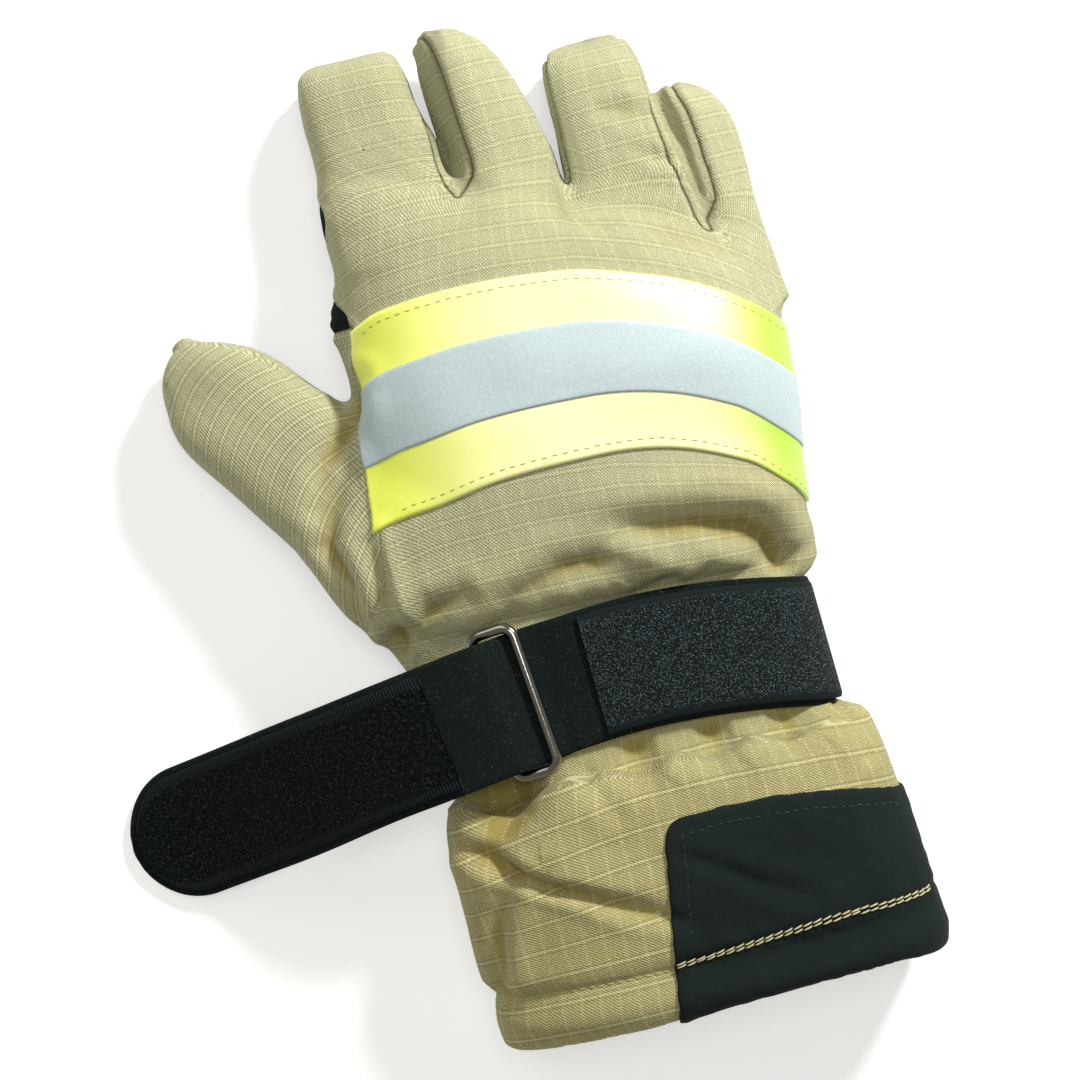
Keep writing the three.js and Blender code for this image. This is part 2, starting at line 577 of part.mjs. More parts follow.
const strapLift = 2 * LAYER_GAP;
const FREE_TIP_X = RING_X - STRAP_FREE;
function strapLine() {
  const deckZ = tabTop + LAYER_GAP;
  const points = DRAPE.map(
    ({ reach, height }) => new THREE.Vector3(RING_X - reach * STRAP_FREE, 0, Math.max(height * deckZ, 0.2)),
  );
  points.push(new THREE.Vector3(leftBarX, 0, deckZ));
  const underZ = surfaceZ(rightBarX) + strapLift;
  const threadedZ = THREE.MathUtils.lerp(underZ, deckZ, DECK_SHARE);
  points.push(new THREE.Vector3(RING_X - DECK_REACH * RING_WIDTH, 0, threadedZ));
  const from = Math.PI;
  for (let angle = from; angle > SEWN_END; angle -= (from - SEWN_END) / STRAP_STEPS) {
    const p = bodyPoint(wrist, angle, -strapLift);
    if (p.x > rightBarX - RING_WIRE || angle < 0) points.push(new THREE.Vector3(p.x, 0, p.z));
  }
  return new THREE.CatmullRomCurve3(points, false, "centripetal").getSpacedPoints(STRAP_ROWS);
}
const strapPoints = strapLine();

// A band along the strap's line, between two x limits on the upper side, with a round tip if asked.
const strapLean = (p) => (p.z < wrist.top / 2 && p.x > 0 ? 0 : rampDown(p.x, -STRAP_STRAIGHT, LEAN_FADE));
function band(points, width, low, high, { tipX = null, leanAt = strapLean } = {}) {
  const rings = points.map((p, i) => {
    const before = points[Math.max(i - 1, 0)];
    const after = points[Math.min(i + 1, points.length - 1)];
    const along = after.clone().sub(before).normalize();
    const out = new THREE.Vector3(-along.z, 0, along.x);
    let side = width / 2;
    if (tipX !== null) {
      const fromTip = Math.max(p.x - tipX, 0.4);
      if (fromTip < side) side = Math.sqrt(side ** 2 - (side - fromTip) ** 2);
    }
    return [
      [-side, low],
      [side, low],
      [side, high],
      [-side, high],
    ].map(([across, lift]) => {
      const q = p.clone().addScaledVector(out, lift);
      q.x -= across * straightSlope * leanAt(p, i);
      q.y = bow(p.x) + across;
      return q;
    });
  });
  return loft(rings);
}
addPiece("wrist_strap", band(strapPoints, STRAP_WIDTH, 0, STRAP_THICKNESS, { tipX: FREE_TIP_X }), LEATHER);

const topOf = strapPoints.findIndex((p) => p.x >= wrist.right - 0.5) + 2;
const patchLow = STRAP_THICKNESS + LAYER_GAP;
const patchHigh = patchLow + PATCH_THICKNESS;
const hookFrom = wrist.right - HOOK_LENGTH;
const pileFrom = FREE_TIP_X + PATCH_MARGIN;
const onTop = strapPoints.slice(0, topOf + 1);
addPiece(
  "hook_patch",
  band(onTop.filter((p) => p.x > hookFrom), HOOK_WIDTH, patchLow, patchHigh),
  HOOK,
);
addPiece(
  "pile_patch",
  band(
    onTop.filter((p) => p.x > pileFrom && p.x < pileFrom + PILE_LENGTH),
    STRAP_WIDTH - 2 * PATCH_MARGIN,
    patchLow,
    patchHigh,
    { tipX: pileFrom },
  ),
  PILE,
);

// The ring is a round wire bent to a rectangle. Its left bar lies in the tab, under the strap, and its
// right bar lies on the strap.
function ringSolid() {
  const a = (RING_WIDTH - RING_WIRE) / 2;
  const b = (ringLength - RING_WIRE) / 2;
  const r = RING_CORNER - wire;
  const line = new THREE.Path();
  line.moveTo(a, -b + r);
  line.absarc(a - r, b - r, r, 0, Math.PI / 2);
  line.absarc(-a + r, b - r, r, Math.PI / 2, Math.PI);
  line.absarc(-a + r, -b + r, r, Math.PI, 1.5 * Math.PI);
  line.absarc(a - r, -b + r, r, 1.5 * Math.PI, 2 * Math.PI);
  const points = line.getPoints(3).slice(0, -1);
  const count = points.length;
  const rings = points.map((p, i) => {
    const next = points[(i + 1) % count];
    const prior = points[(i - 1 + count) % count];
    const out = new THREE.Vector2(next.y - prior.y, prior.x - next.x).normalize();
    return Array.from({ length: WIRE_SIDES }, (_, k) => {
      const angle = ((k + 0.5) / WIRE_SIDES) * 2 * Math.PI;
      const across = wire * Math.cos(angle);
      return new THREE.Vector3(p.x + out.x * across, p.y + out.y * across, wire * Math.sin(angle));
    });
  });
  return loft(rings, true);
}
const ringMiddle = new THREE.Vector3(RING_X, bow(RING_X), (leftBarZ + rightBarZ) / 2);
addPiece(
  "buckle_ring",
  ringSolid()
    .rotate([0, THREE.MathUtils.radToDeg(ringTilt), THREE.MathUtils.radToDeg(Math.atan(straightSlope))])
    .translate(ringMiddle.toArray()),
  STEEL,
);

// The tab comes up the thumb's side of the wrist, goes round the ring's left bar and ends under itself.
function tabLine() {
  const points = [];
  for (let angle = TAB_START; angle > Math.PI / 2; angle -= TAB_STEP) {
    const p = bodyPoint(wrist, angle, -LAYER_GAP - TAB_THICKNESS);
    if (p.x < leftBarX - TAB_LEAN_FADE) points.push(new THREE.Vector3(p.x, 0, p.z));
  }
  return points;
}
function tab() {
  const reach = wire + LAYER_GAP;
  const under = tabLine();
  const around = Array.from({ length: TAB_TURN_STEPS + 1 }, (_, i) => {
    const angle = -Math.PI / 2 + (i / TAB_TURN_STEPS) * Math.PI;
    return new THREE.Vector3(leftBarX + Math.cos(angle) * reach, 0, leftBarZ + Math.sin(angle) * reach);
  });
  const tail = new THREE.Vector3(leftBarX - TAB_TAIL, 0, leftBarZ + reach - TAB_TAIL_DIP);
  const onWrist = (p) => 1 - rampDown(p.x, leftBarX - TAB_LEAN_FADE, TAB_LEAN_FADE);
  const leanAt = (p, i) => (i < under.length ? onWrist(p) : 1);
  return band([...under, ...around, tail], ringLength - 2 * RING_CORNER, -TAB_THICKNESS, 0, { leanAt });
}
addPiece("ring_tab", tab(), LEATHER);

// The leather patch lies on the outside of the cuff, turns round the hem and ends inside it.
function cuffPatch() {
  const hemY = wristY - CUFF_LENGTH;
  const topY = hemY + CUFF_PATCH_LENGTH;
  const corner = CUFF_PATCH_CORNER;
  const left = CUFF_PATCH_LEFT * CUFF_WIDTH;
  const outline = new THREE.Shape();
  outline.moveTo(left - CUFF_PATCH_LEAN * (FAR + CUFF_PATCH_LENGTH), hemY - FAR);
  outline.lineTo(left, topY - corner);
  outline.quadraticCurveTo(left, topY, left + corner, topY);
  outline.lineTo(FAR, topY);
  outline.lineTo(FAR, hemY - FAR);
  const region = plan(outline.getPoints(4), CUFF_PATCH_LOWEST, FAR);
  const turn = LAYER_GAP + CUFF_PATCH_THICKNESS;
  const cloth = body(-LAYER_GAP, LAYER_GAP).subtract(body(WALL + LAYER_GAP, FAR));
  const beyondFold = body(WALL / 2).intersect(box(-FAR, FAR, hemY + HEM_FOLD, FAR, -FAR, FAR));
  const around = body(-turn, turn).subtract(body(WALL + turn, FAR));
  return around.subtract(cloth).subtract(beyondFold).intersect(region);
}
addPiece("cuff_patch", cuffPatch(), LEATHER);

export default glove;
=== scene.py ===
"""The looks of a firefighter's glove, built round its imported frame.

Lengths are millimetres until a mesh is made. The origin is under the middle of the palm, +Z is up, +Y points
to the fingertips and +X to the little finger's side.
"""

import math

import bpy
import numpy as np
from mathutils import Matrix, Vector


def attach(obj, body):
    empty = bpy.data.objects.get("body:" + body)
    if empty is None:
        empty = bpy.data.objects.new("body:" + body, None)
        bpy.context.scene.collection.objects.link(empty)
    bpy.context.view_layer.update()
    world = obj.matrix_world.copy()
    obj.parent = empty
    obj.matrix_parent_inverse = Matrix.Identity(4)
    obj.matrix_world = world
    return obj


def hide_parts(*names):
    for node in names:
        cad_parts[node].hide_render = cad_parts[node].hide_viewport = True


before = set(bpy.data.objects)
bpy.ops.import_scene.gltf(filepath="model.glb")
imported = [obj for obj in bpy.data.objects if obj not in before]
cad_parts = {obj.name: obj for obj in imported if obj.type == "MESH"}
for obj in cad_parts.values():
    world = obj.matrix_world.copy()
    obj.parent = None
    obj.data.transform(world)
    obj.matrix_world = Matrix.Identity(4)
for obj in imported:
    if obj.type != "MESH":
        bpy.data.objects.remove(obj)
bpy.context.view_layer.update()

MM = 0.001
STEP = 0.9  # size of the skin's cells
SLAB = 24  # rows of cells worked out at a time
rng = np.random.default_rng(7)

# Sizes, most of them as in the part's source
PALM_TO_WRIST = 72.0
HAND_LENGTH = 135.0
HAND_WIDTH = 120.0
HAND_HEIGHT = 50.0
WRIST_WIDTH = 104.0
WRIST_HEIGHT = 38.0
WRIST_LIFT = 5.0
CUFF_LENGTH = 94.0
CUFF_WIDTH = 128.0
CUFF_HEIGHT = 50.0
WALL = 3.0
KNUCKLE_SKEW = 20.0
PALM_SEAM_Z = 13.0
TIP_SEAM_DROP = 5.5
FINGER_LENGTH = 50.0
FINGER_WIDTH = 28.0
FINGER_HEIGHT = 24.0
FINGER_ROOT = 24.0
ROOT_WIDTH = 0.7
THUMB_LENGTH = 84.0
THUMB_WIDTH = 39.0
THUMB_HEIGHT = 31.0
THUMB_LEAN = 38.0
THUMB_DROP = 0.05
THUMB_ROOT = 16.0
THUMB_SEAM_Z = 12.0
THUMB_TIP_SEAM_DROP = 5.0
STRAP_WIDTH = 36.0
STRAP_THICKNESS = 2.2
STRAP_BOW = 7.5
STRAP_STRAIGHT = 30.0
STRAP_FREE = 117.5
STRAP_CENTRE = 68.0
STRAP_SEAT = 43.0
RING_WIRE = 3.0
RING_PLAY = 0.8
RING_WIDTH = 15.5
RING_CORNER = 5.0
RING_X = -38.0
TAB_THICKNESS = 1.3
TAB_TAIL = 10.0
LAYER_GAP = 0.3
TAPE_WIDTH = 53.0
SILVER_FROM = 0.29
SILVER_TO = 0.685
TAPE_END_Z = 16.0
HOOK_WIDTH = 33.0
HOOK_LENGTH = 62.5
PILE_LENGTH = 95.5
PATCH_MARGIN = 2.0
CUFF_PATCH_LENGTH = 53.0
CUFF_PATCH_LEFT = -0.045
CUFF_PATCH_LEAN = 0.14
CUFF_PATCH_CORNER = 5.0
CUFF_PATCH_LOWEST = 8.0
HEM_FOLD = 17.0

# Shape of the hand's and the fingers' sections
WIDEST = 0.46
TOP_POWER, FOOT_POWER, TUBE_POWER = 2.5, 5.0, 3.4
PRESS = 1.06
FRONT_ROUND = 10.0
FINGERTIP_ROUND, THUMBTIP_ROUND = 4.5, 1.5
FLARE_FROM = 8.0  # a finger is at its widest this far behind the crotch
FLARE_SHARE = 0.5  # and has its own width from this share of its length
# Reach of the fillets between the hand, the fingers and the thumb
FINGER_BLEND, THUMB_BLEND, CROTCH_BLEND = 9.0, 8.0, 3.4
THUMB_BLEND_BACK = 10.0  # so much more behind the thumb
HOLLOW_FRONT = 40.0  # the modelled hollow ends at this y
HEM_ROUND, LINING_ROUND = 2.4, 1.6
SEAT_WALL, SEAT_WALL_FADE = 4.0, 9.0  # the gathered cloth makes the wall thicker beside the strap

# The skin's relief
BRIM = 0.28  # height of a valley's raised brim, as a share of its depth
DEEPEST_FOLD, HIGHEST_FOLD = 8.0, 2.6
GATHER_PITCH = 9.5  # of the small gathers beside the strap
LEATHER_BULGE = 3.6
HEM_LINE_Y, HEM_LINE_DEPTH, HEM_LINE_HALF = -149.8, 0.7, 1.1
TURNED_EDGE = 1.0  # how far the edges of the skin's pieces turn in
SEAM_REACH = 6.0  # how far from a seam the cloth shows it
WEAVE_STRAIGHT = 0.85  # how far the weave keeps its line over folds, seen from above

# Strap, ring and tab
STRAIGHT_SLOPE = 2 * STRAP_BOW * STRAP_STRAIGHT / (0.5 * WRIST_WIDTH) ** 2
RING_SLOPE = 0.115
RING_SIDES = 20
SEWN_END = -2.0  # the angle round the wrist where the strap ends
DIP_SHARE, DIP_HEIGHT = 0.1, 0.62  # where the strap comes down behind the ring's left bar
LEAN_FADE = 8.0
BAND_COLUMNS = 28
BAND_EDGE = 0.5  # rounding of a strap's edges
TIP_WIDER = 0.045  # the strap's free end is this share wider
TAB_START = 2.95  # the angle round the wrist where the tab comes out
TAB_TURN = 4.0
TAB_DROP = 1.2
HOOK_MARGIN, PILE_MARGIN = 2.0, 2.3
HOOK_THICKNESS, PILE_THICKNESS = 1.2, 1.3

# Tape and stitches
TAPE_RISE, TAPE_THICKNESS = 0.15, 0.8
SILVER_RISE, SILVER_THICKNESS = 0.95, 0.35
TAPE_COLUMNS = 230
PATCH_SUEDE = 1.3
LOWEST_STITCH = 15.0
STITCH_INSET = 2.6
THREAD_RINGS, THREAD_SIDES = 6, 6
# Columns: pitch, length and radius of the stitches, rise above the skin
TAPE_SEWING = 2.9, 2.2, 0.2, 0.8
HEM_SEWING = 2.6, 2.0, 0.22, -0.55
PATCH_SEWING = 2.7, 2.9, 0.27, 1.25
PATCH_EDGE_SEWING = 2.6, 2.0, 0.2, 1.15
JITTER, COARSE_JITTER = 0.06, 0.12
PATCH_TWIST = 0.2

# The ripstop weave: its dotted yarns, its twill, and the beads on its thick yarns
DOT_PITCH, DOT_LENGTH = 5.2, 0.8
TWILL_PITCH = 0.66
BEAD_PITCH = 0.95

WRIST_Y = -PALM_TO_WRIST
HEM_Y = WRIST_Y - CUFF_LENGTH
SEAT_Y = -STRAP_CENTRE - STRAP_BOW / 2

# Columns: share of the length, left and right share of the width, top share of the height, skew share
HAND_SECTIONS = [
    (0.207, 0.594, 0.448, 0.88, 0),
    (0.26, 0.6, 0.443, 0.95, 0.08),
    (0.33, 0.58, 0.45, 0.98, 0.2),
    (0.45, 0.545, 0.462, 1.0, 0.35),
    (0.6, 0.528, 0.482, 1.0, 0.5),
    (0.75, 0.508, 0.486, 0.95, 0.65),
    (0.88, 0.492, 0.457, 0.86, 0.8),
    (0.96, 0.48, 0.448, 0.74, 0.95),
    (1.0, 0.46, 0.442, 0.6, 1.0),
]
CUFF_SECTIONS = [
    (0.27, 0.487, 0.446, 0.9),
    (0.37, 0.512, 0.463, 0.98),
    (0.5, 0.51, 0.475, 1.0),
    (0.65, 0.506, 0.486, 1.0),
    (0.77, 0.5, 0.493, 1.0),
    (0.835, 0.482, 0.495, 0.965),
    (0.91, 0.492, 0.5, 0.99),
    (0.97, 0.488, 0.496, 0.94),
    (1.0, 0.475, 0.484, 0.88),
]
WRIST_LEFT, WRIST_RIGHT = 0.58 * WRIST_WIDTH, 0.45 * WRIST_WIDTH
# How the gathered wrist opens out at the strap's edges.
# Columns: share of the seat's length, millimetres wider on the left and right
WRIST_SECTIONS = [
    (-0.54, 0, 9),
    (-0.5, 0, 6),
    (-0.43, 0, 2),
    (0, 1.5, 0.3),
    (0.33, 5, 0.8),
    (0.42, 6.2, 5),
    (0.5, 7.6, 7.2),
]

# Columns: place, length, width, height, lean, roll, tip, slant, lift at root and tip, how early it narrows
FINGERS = {
    "index": (-0.3655, 0.757, 1.105, 1.0, 1, 0, 0.8, 0.2, 0.74, 0.5, 1.0),
    "middle": (-0.06, 1.06, 0.925, 0.98, 5.5, 24, 0.34, 0.76, 0.8, 0.66, 0.43),
    "ring": (0.208, 1.052, 1.03, 1.0, 2.5, 0, 0.72, 0.2, 0.74, 0.5, 1.0),
    "little": (0.426, 0.895, 0.66, 0.84, 5.5, 27, 0.45, 0.48, 0.72, 0.62, 0.9),
}
# How much wider each finger is at its root, on its left and right
ROOT_FLARE = {"index": (-1.0, 4.4), "middle": (0.2, 0.4), "ring": (1.2, 4.2), "little": (0, -2.6)}
# The seams of the side strips, on a finger's left and right: share of the half width at root and tip, and
# of the half height
STRIP_SEAMS = {
    "index": (None, (0.92, 0.92, 0.3)),
    "middle": ((0.74, 0.2, 0.62), (0.86, 0.86, 0.3)),
    "ring": ((0.72, 0.95, 0.55), (0.82, 0.82, 0.62)),
    "little": ((0.5, 0.25, 0.85), None),
}
# Columns: share of the length, how much of the narrowing is reached, top and foot shares of the height
FINGER_SECTIONS = [
    (0, 0, 1, 0),
    (0.15, 0, 1, 0),
    (0.35, 0.004, 1, 0),
    (0.55, 0.03, 1, 0),
    (0.72, 0.12, 0.96, 0),
    (0.85, 0.32, 0.84, 0.01),
    (0.94, 0.6, 0.66, 0.05),
    (1.02, 1.0, 0.5, 0.1),
]
# Columns: share of the length, width, top and foot, and the shift towards the fingers in millimetres
THUMB_SECTIONS = [
    (0, 1.16, 1.1, 0, 0),
    (0.3, 1.07, 1.05, 0, -0.3),
    (0.5, 0.985, 1.0, 0, -1.0),
    (0.68, 0.895, 0.93, 0, -2.0),
    (0.78, 0.8, 0.88, 0.01, -2.8),
    (0.835, 0.7, 0.82, 0.03, -2.9),
    (0.885, 0.56, 0.74, 0.05, -2.1),
    (0.922, 0.41, 0.68, 0.08, -1.1),
    (0.955, 0.22, 0.6, 0.14, 1.0),
    (0.982, 0.07, 0.5, 0.2, 3.2),
]
THUMB_START = (-0.49 * HAND_WIDTH, -0.16 * HAND_LENGTH, 0.56 * THUMB_HEIGHT)
# Columns: shares of the hand's width and length, share of the tape's width
TAPE_EDGE = [
    (-0.53, 0.255, 1.01),
    (-0.49, 0.275, 1.02),
    (-0.408, 0.3, 1.05),
    (-0.247, 0.307, 1.01),
    (-0.008, 0.293, 0.957),
    (0.19, 0.248, 0.91),
    (0.314, 0.2, 0.91),
    (0.4, 0.153, 0.965),
    (0.53, 0.06, 1.08),
]
# Columns: shares of the hand's width and length
THUMB_SEAM = [(-0.487, 0.29), (-0.508, 0.12), (-0.525, -0.1), (-0.54, -0.22), (-0.62, -0.33)]

# Where the palm's leather comes up beside the index finger. Columns: y, half length, rise of the seam
LEATHER_RISES = [(40, 10, 18), (70, 8, 13)]

# The strap's free end. Columns: reach as a share of the free end, height as a share of the ring's
DRAPE = [(1, 0.02), (0.92, 0.03), (0.8, 0.13), (0.62, 0.4), (0.45, 0.68), (0.28, 0.9), (0.16, 0.985)]

# Valleys in the cloth's upper side, or ridges where the depth is negative.
# Each is a line of points: x, y, half width, depth
FOLDS = [
    [
        (-8, -29, 4, 0.5), (0, -31, 4.5, 1.8), (10, -33.5, 5, 3.2), (22, -35, 5, 4.2),
        (33, -38.5, 4.5, 4.8), (39, -44, 3.8, 3.8), (41.5, -52, 3.2, 2.6),
    ],
    [(-4, -24, 6, -0.6), (12, -24, 7, -1.6), (30, -26, 7, -1.9), (44, -33, 6, -1.7), (50, -42, 5, -1.2)],
    [(-2, -36, 3, -0.6), (6, -39, 3, -1.2), (15, -46, 3, -1.0)],
    [(20, -43, 4, -0.8), (31, -48, 4, -0.8)],
    [
        (-2, -39, 3, 1.0), (-8, -39, 4.2, 3.0), (-18, -39.5, 4.2, 2.6),
        (-30, -43, 3.4, 1.6), (-36, -47, 3, 0.8),
    ],
    [(-68, -48, 2.6, 1.2), (-60, -46, 3.4, 2.8), (-53, -42.5, 4, 3.6), (-46, -40, 3.4, 1.8)],
    [(-46, -49, 3, -0.8), (-38, -47, 3, -0.8)],
    [(-4, -52, 1.8, 0.8), (4, -50, 2, 1.6), (12, -47.5, 2, 1.0)],
    [(-60, 24, 3, 1.6), (-64, 17, 4, 3.6), (-69, 10, 4, 3.6), (-75, 3, 3.6, 2.8), (-80, -7, 3, 1.2)],
    [(-68, 2, 3, 0.8), (-75, -9, 3, 2.4), (-79, -18, 3, 3.0), (-76, -30, 3, 3.0), (-73, -42, 2.8, 2.0)],
    [(-66, -20, 2.4, 0.6), (-67, -28, 2.6, 1.6), (-67, -38, 2.6, 2.2), (-65, -52, 2.6, 2.2)],
    [(-62, -20, 3, -0.6), (-62, -34, 3, -1.0), (-60, -44, 3, -0.8)],
    [
        (-62, -106, 3, 1.6), (-56, -110.5, 2.6, 2.8), (-50, -115, 2.2, 3.4), (-37, -122.5, 2.1, 3.6),
        (-27, -128, 2.2, 3.0), (-12, -135, 2.6, 1.6), (-4, -138, 3, 0.6),
    ],
    [(-44, -111, 4.5, -0.9), (-30, -118, 4.5, -1.1), (-14, -126, 4.5, -0.8)],
    [(-43, -84, 8.5, 6.5), (-47, -96, 9, 7.5), (-52, -106, 7, 3.4)],
    [
        (-50, -118, 3.4, 1.6), (-55, -126, 3.4, 2.6), (-58, -135, 3.2, 2.8),
        (-60, -147, 2.6, 2.4), (-57, -151, 2, 1.2),
    ],
    [(-49, -126, 3.4, -0.6), (-52, -136, 3.4, -0.9), (-53, -148, 3, -0.6)],
    [(-8, -80, 5, 3.6), (-9, -92, 5, 3.4), (-10, -98, 4, 0.8)],
    [(12.5, -80, 5, 3.6), (12, -91.5, 5, 3.4), (11, -97, 4, 0.8)],
    [(33.5, -80, 5, 3.6), (34, -93, 5, 3.2), (34, -99, 4, 0.8)],
    [(2, -88, 4, -1.0), (2, -98, 4, -0.5)],
    [(23, -88, 4, -1.0), (23, -98, 4, -0.5)],
    [(-26, -88, 2.6, 1.4), (-18, -106, 2.6, 0.8)],
    [(48, -86, 2.6, 2.0), (53, -106, 2.4, 1.0)],
    [(22, 82.5, 2, 0.6), (28, 81, 2.6, 1.2), (34, 79, 2, 0.5)],
    [(30, 69, 2, 0.6), (35, 66, 2.4, 1.2), (40, 64, 2, 0.5)],
    [(-52, 62, 4, 0.6), (-40, 66, 4, 0.6)],
    [(-34, 52, 5, 0.5), (-20, 58, 5, 0.7)],
    [(2, 60, 3, 0.8), (14, 50, 3, 0.8)],
    [(30, 44, 4, 0.8), (46, 36, 4, 0.8)],
    [(-2, -121, 2.4, 0.6), (11, -130, 2.6, 1.1), (28, -139, 3, 0.5)],
]


def smooth(t):
    t = np.clip(t, 0, 1)
    return t * t * (3 - 2 * t)


def curve(rows, column):
    """A smooth function through one column of a table, over its first column."""
    xs = np.array([row[0] for row in rows], float)
    ys = np.array([row[column] for row in rows], float)
    gaps, rises = np.diff(xs), np.diff(ys) / np.diff(xs)
    slopes = np.zeros(len(xs))
    before, after = rises[:-1], rises[1:]
    mean = 2 / (1 / (after + 1e-12) + 1 / (before + 1e-12))
    slopes[1:-1] = np.where(after * before > 0, mean, 0)
    slopes[0], slopes[-1] = rises[0], rises[-1]

    def at(x):
        x = np.clip(x, xs[0], xs[-1])
        i = np.clip(np.searchsorted(xs, x, side="right") - 1, 0, len(gaps) - 1)
        h = gaps[i]
        t = (x - xs[i]) / h
        a, b = (1 + 2 * t) * (1 - t) ** 2, t * (1 - t) ** 2
        c, d = t * t * (3 - 2 * t), t * t * (t - 1)
        return a * ys[i] + b * h * slopes[i] + c * ys[i + 1] + d * h * slopes[i + 1]

    return at


def smooth_min(a, b, reach):
    h = np.clip(0.5 + 0.5 * (b - a) / reach, 0, 1)
    return b + (a - b) * h - reach * h * (1 - h)


def smooth_max(a, b, reach):
    return -smooth_min(-a, -b, reach)


def bell(t):
    return np.exp(-(t**2))


def unit(vectors):
    """Vectors scaled to a length of 1."""
    return vectors / np.maximum(np.linalg.norm(vectors, axis=-1, keepdims=True), 1e-9)


def length_along(line):
    """How far along a line each of its points is."""
    return np.concatenate([[0], np.cumsum(np.linalg.norm(np.diff(line, axis=0), axis=1))])


def resampled(line, count):
    """The same line with evenly spaced points."""
    length = length_along(line)
    at = np.linspace(0, length[-1], count)
    return np.stack([np.interp(at, length, line[:, k]) for k in range(line.shape[1])], 1)


def ring_faces(index):
    """Quads between rows of points that each close to a ring."""
    a, b = index[..., :-1, :], index[..., 1:, :]
    return np.stack([a, b, np.roll(b, -1, -1), np.roll(a, -1, -1)], -1).reshape(-1, 4)


# Rows of the hand and cuff: y, left, right, top, bottom, skew
body_rows = [
    (WRIST_Y - at * CUFF_LENGTH, left * CUFF_WIDTH, right * CUFF_WIDTH, top * CUFF_HEIGHT, 0, 0)
    for at, left, right, top in reversed(CUFF_SECTIONS)
]
body_rows += [
    (SEAT_Y + at * STRAP_SEAT, WRIST_LEFT + left, WRIST_RIGHT + right, WRIST_HEIGHT, WRIST_LIFT, 0)
    for at, left, right in WRIST_SECTIONS
]
body_rows += [
    (
        WRIST_Y + at * HAND_LENGTH,
        left * HAND_WIDTH,
        right * HAND_WIDTH,
        top * HAND_HEIGHT,
        0,
        math.tan(math.radians(skew * KNUCKLE_SKEW)),
    )
    for at, left, right, top, skew in HAND_SECTIONS
]
body_left, body_right, body_top, body_bottom, body_skew = (curve(body_rows, column) for column in range(1, 6))
FRONT_Y = body_rows[-1][0]


def station(x, y):
    """The row of the hand that a place belongs to."""
    s = y + 0 * x
    for _ in range(3):
        s = y + x * body_skew(s)
    return s


def round_distance(u, v, wide, high, power):
    """Roughly the distance outside a superellipse."""
    radius = np.sqrt(u * u + v * v) + 1e-6
    ratio = ((np.abs(u) / wide) ** power + (np.abs(v) / high) ** power) ** (1 / power) + 1e-6
    return radius * (1 - 1 / ratio)


def body_distance(x, y, z):
    s = station(x, y)
    low, top = body_bottom(s), body_top(s)
    middle = low + WIDEST * (top - low)
    wide = np.where(x < 0, body_left(s), body_right(s))
    rise = z - middle
    upper = round_distance(x, rise, wide, top - middle, TOP_POWER)
    lower = round_distance(x, rise, wide, (middle - low) * PRESS, FOOT_POWER)
    side = np.where(rise > 0, upper, np.maximum(lower, low - z))
    return smooth_max(side, (s - FRONT_Y) * 0.94, FRONT_ROUND)


class Tube:
    """A finger or thumb: a tapering tube of rounded box sections in its own frame u, s, v."""

    def __init__(self, origin, across, along, out, length, start, sections, end_reach):
        self.origin, self.axes = np.array(origin, float), np.array([across, along, out], float)
        self.length, self.start, self.end_reach = length, start, end_reach
        self.wide, self.high, self.off_u, self.off_v = (curve(sections, column) for column in range(1, 5))

    def local(self, x, y, z):
        p = np.stack([x - self.origin[0], y - self.origin[1], z - self.origin[2]], -1)
        return tuple(p @ axis for axis in self.axes)

    def distance(self, x, y, z):
        u, s, v = self.local(x, y, z)
        side = round_distance(u - self.off_u(s), v - self.off_v(s), self.wide(s), self.high(s), TUBE_POWER)
        d = smooth_max(side, s - self.length, self.end_reach)
        return np.maximum(np.maximum(d, self.start - s), -z)


def turned(vector, axis, degrees):
    """vector turned about a unit axis."""
    a = math.radians(degrees)
    c, s = math.cos(a), math.sin(a)
    return vector * c + np.cross(axis, vector) * s + axis * (axis @ vector) * (1 - c)


UP = np.array([0.0, 0.0, 1.0])


def crotch_y(x):
    return WRIST_Y + HAND_LENGTH - x * math.tan(math.radians(KNUCKLE_SKEW))


def finger(name, place, length, width, height, lean, roll, tip, slant, root_lift, tip_lift, early):
    x = place * HAND_WIDTH
    length, width, height = length * FINGER_LENGTH, width * FINGER_WIDTH, height * FINGER_HEIGHT
    along = np.array([0, length, (tip_lift - root_lift) * FINGER_HEIGHT])
    along = turned(unit(along), UP, lean)
    across = unit(np.cross(along, UP))
    out = np.cross(across, along)
    across, out = turned(across, along, roll), turned(out, along, roll)
    left, right = ROOT_FLARE[name]
    flare, shift = (left + right) / 2, (right - left) / 2
    rows = [
        (-FINGER_ROOT, ROOT_WIDTH * width / 2, height / 2, 0, 0),
        (-FLARE_FROM, width / 2 + flare, height / 2, shift, 0),
    ]
    for at, taper, top, foot in FINGER_SECTIONS[1:]:
        narrowing = taper**early * (1 - tip) * width
        high = height * (top - foot) / 2
        left_over = 1 - smooth((at - 0.05) / FLARE_SHARE)
        wide = (width - narrowing) / 2 + flare * left_over
        off = shift * left_over - slant * narrowing / 2
        rows.append((at * length, wide, high, off, height * (top + foot - 1) / 2))
    origin = (x, crotch_y(x), root_lift * FINGER_HEIGHT)
    return Tube(origin, across, along, out, length, -FINGER_ROOT, rows, FINGERTIP_ROUND)


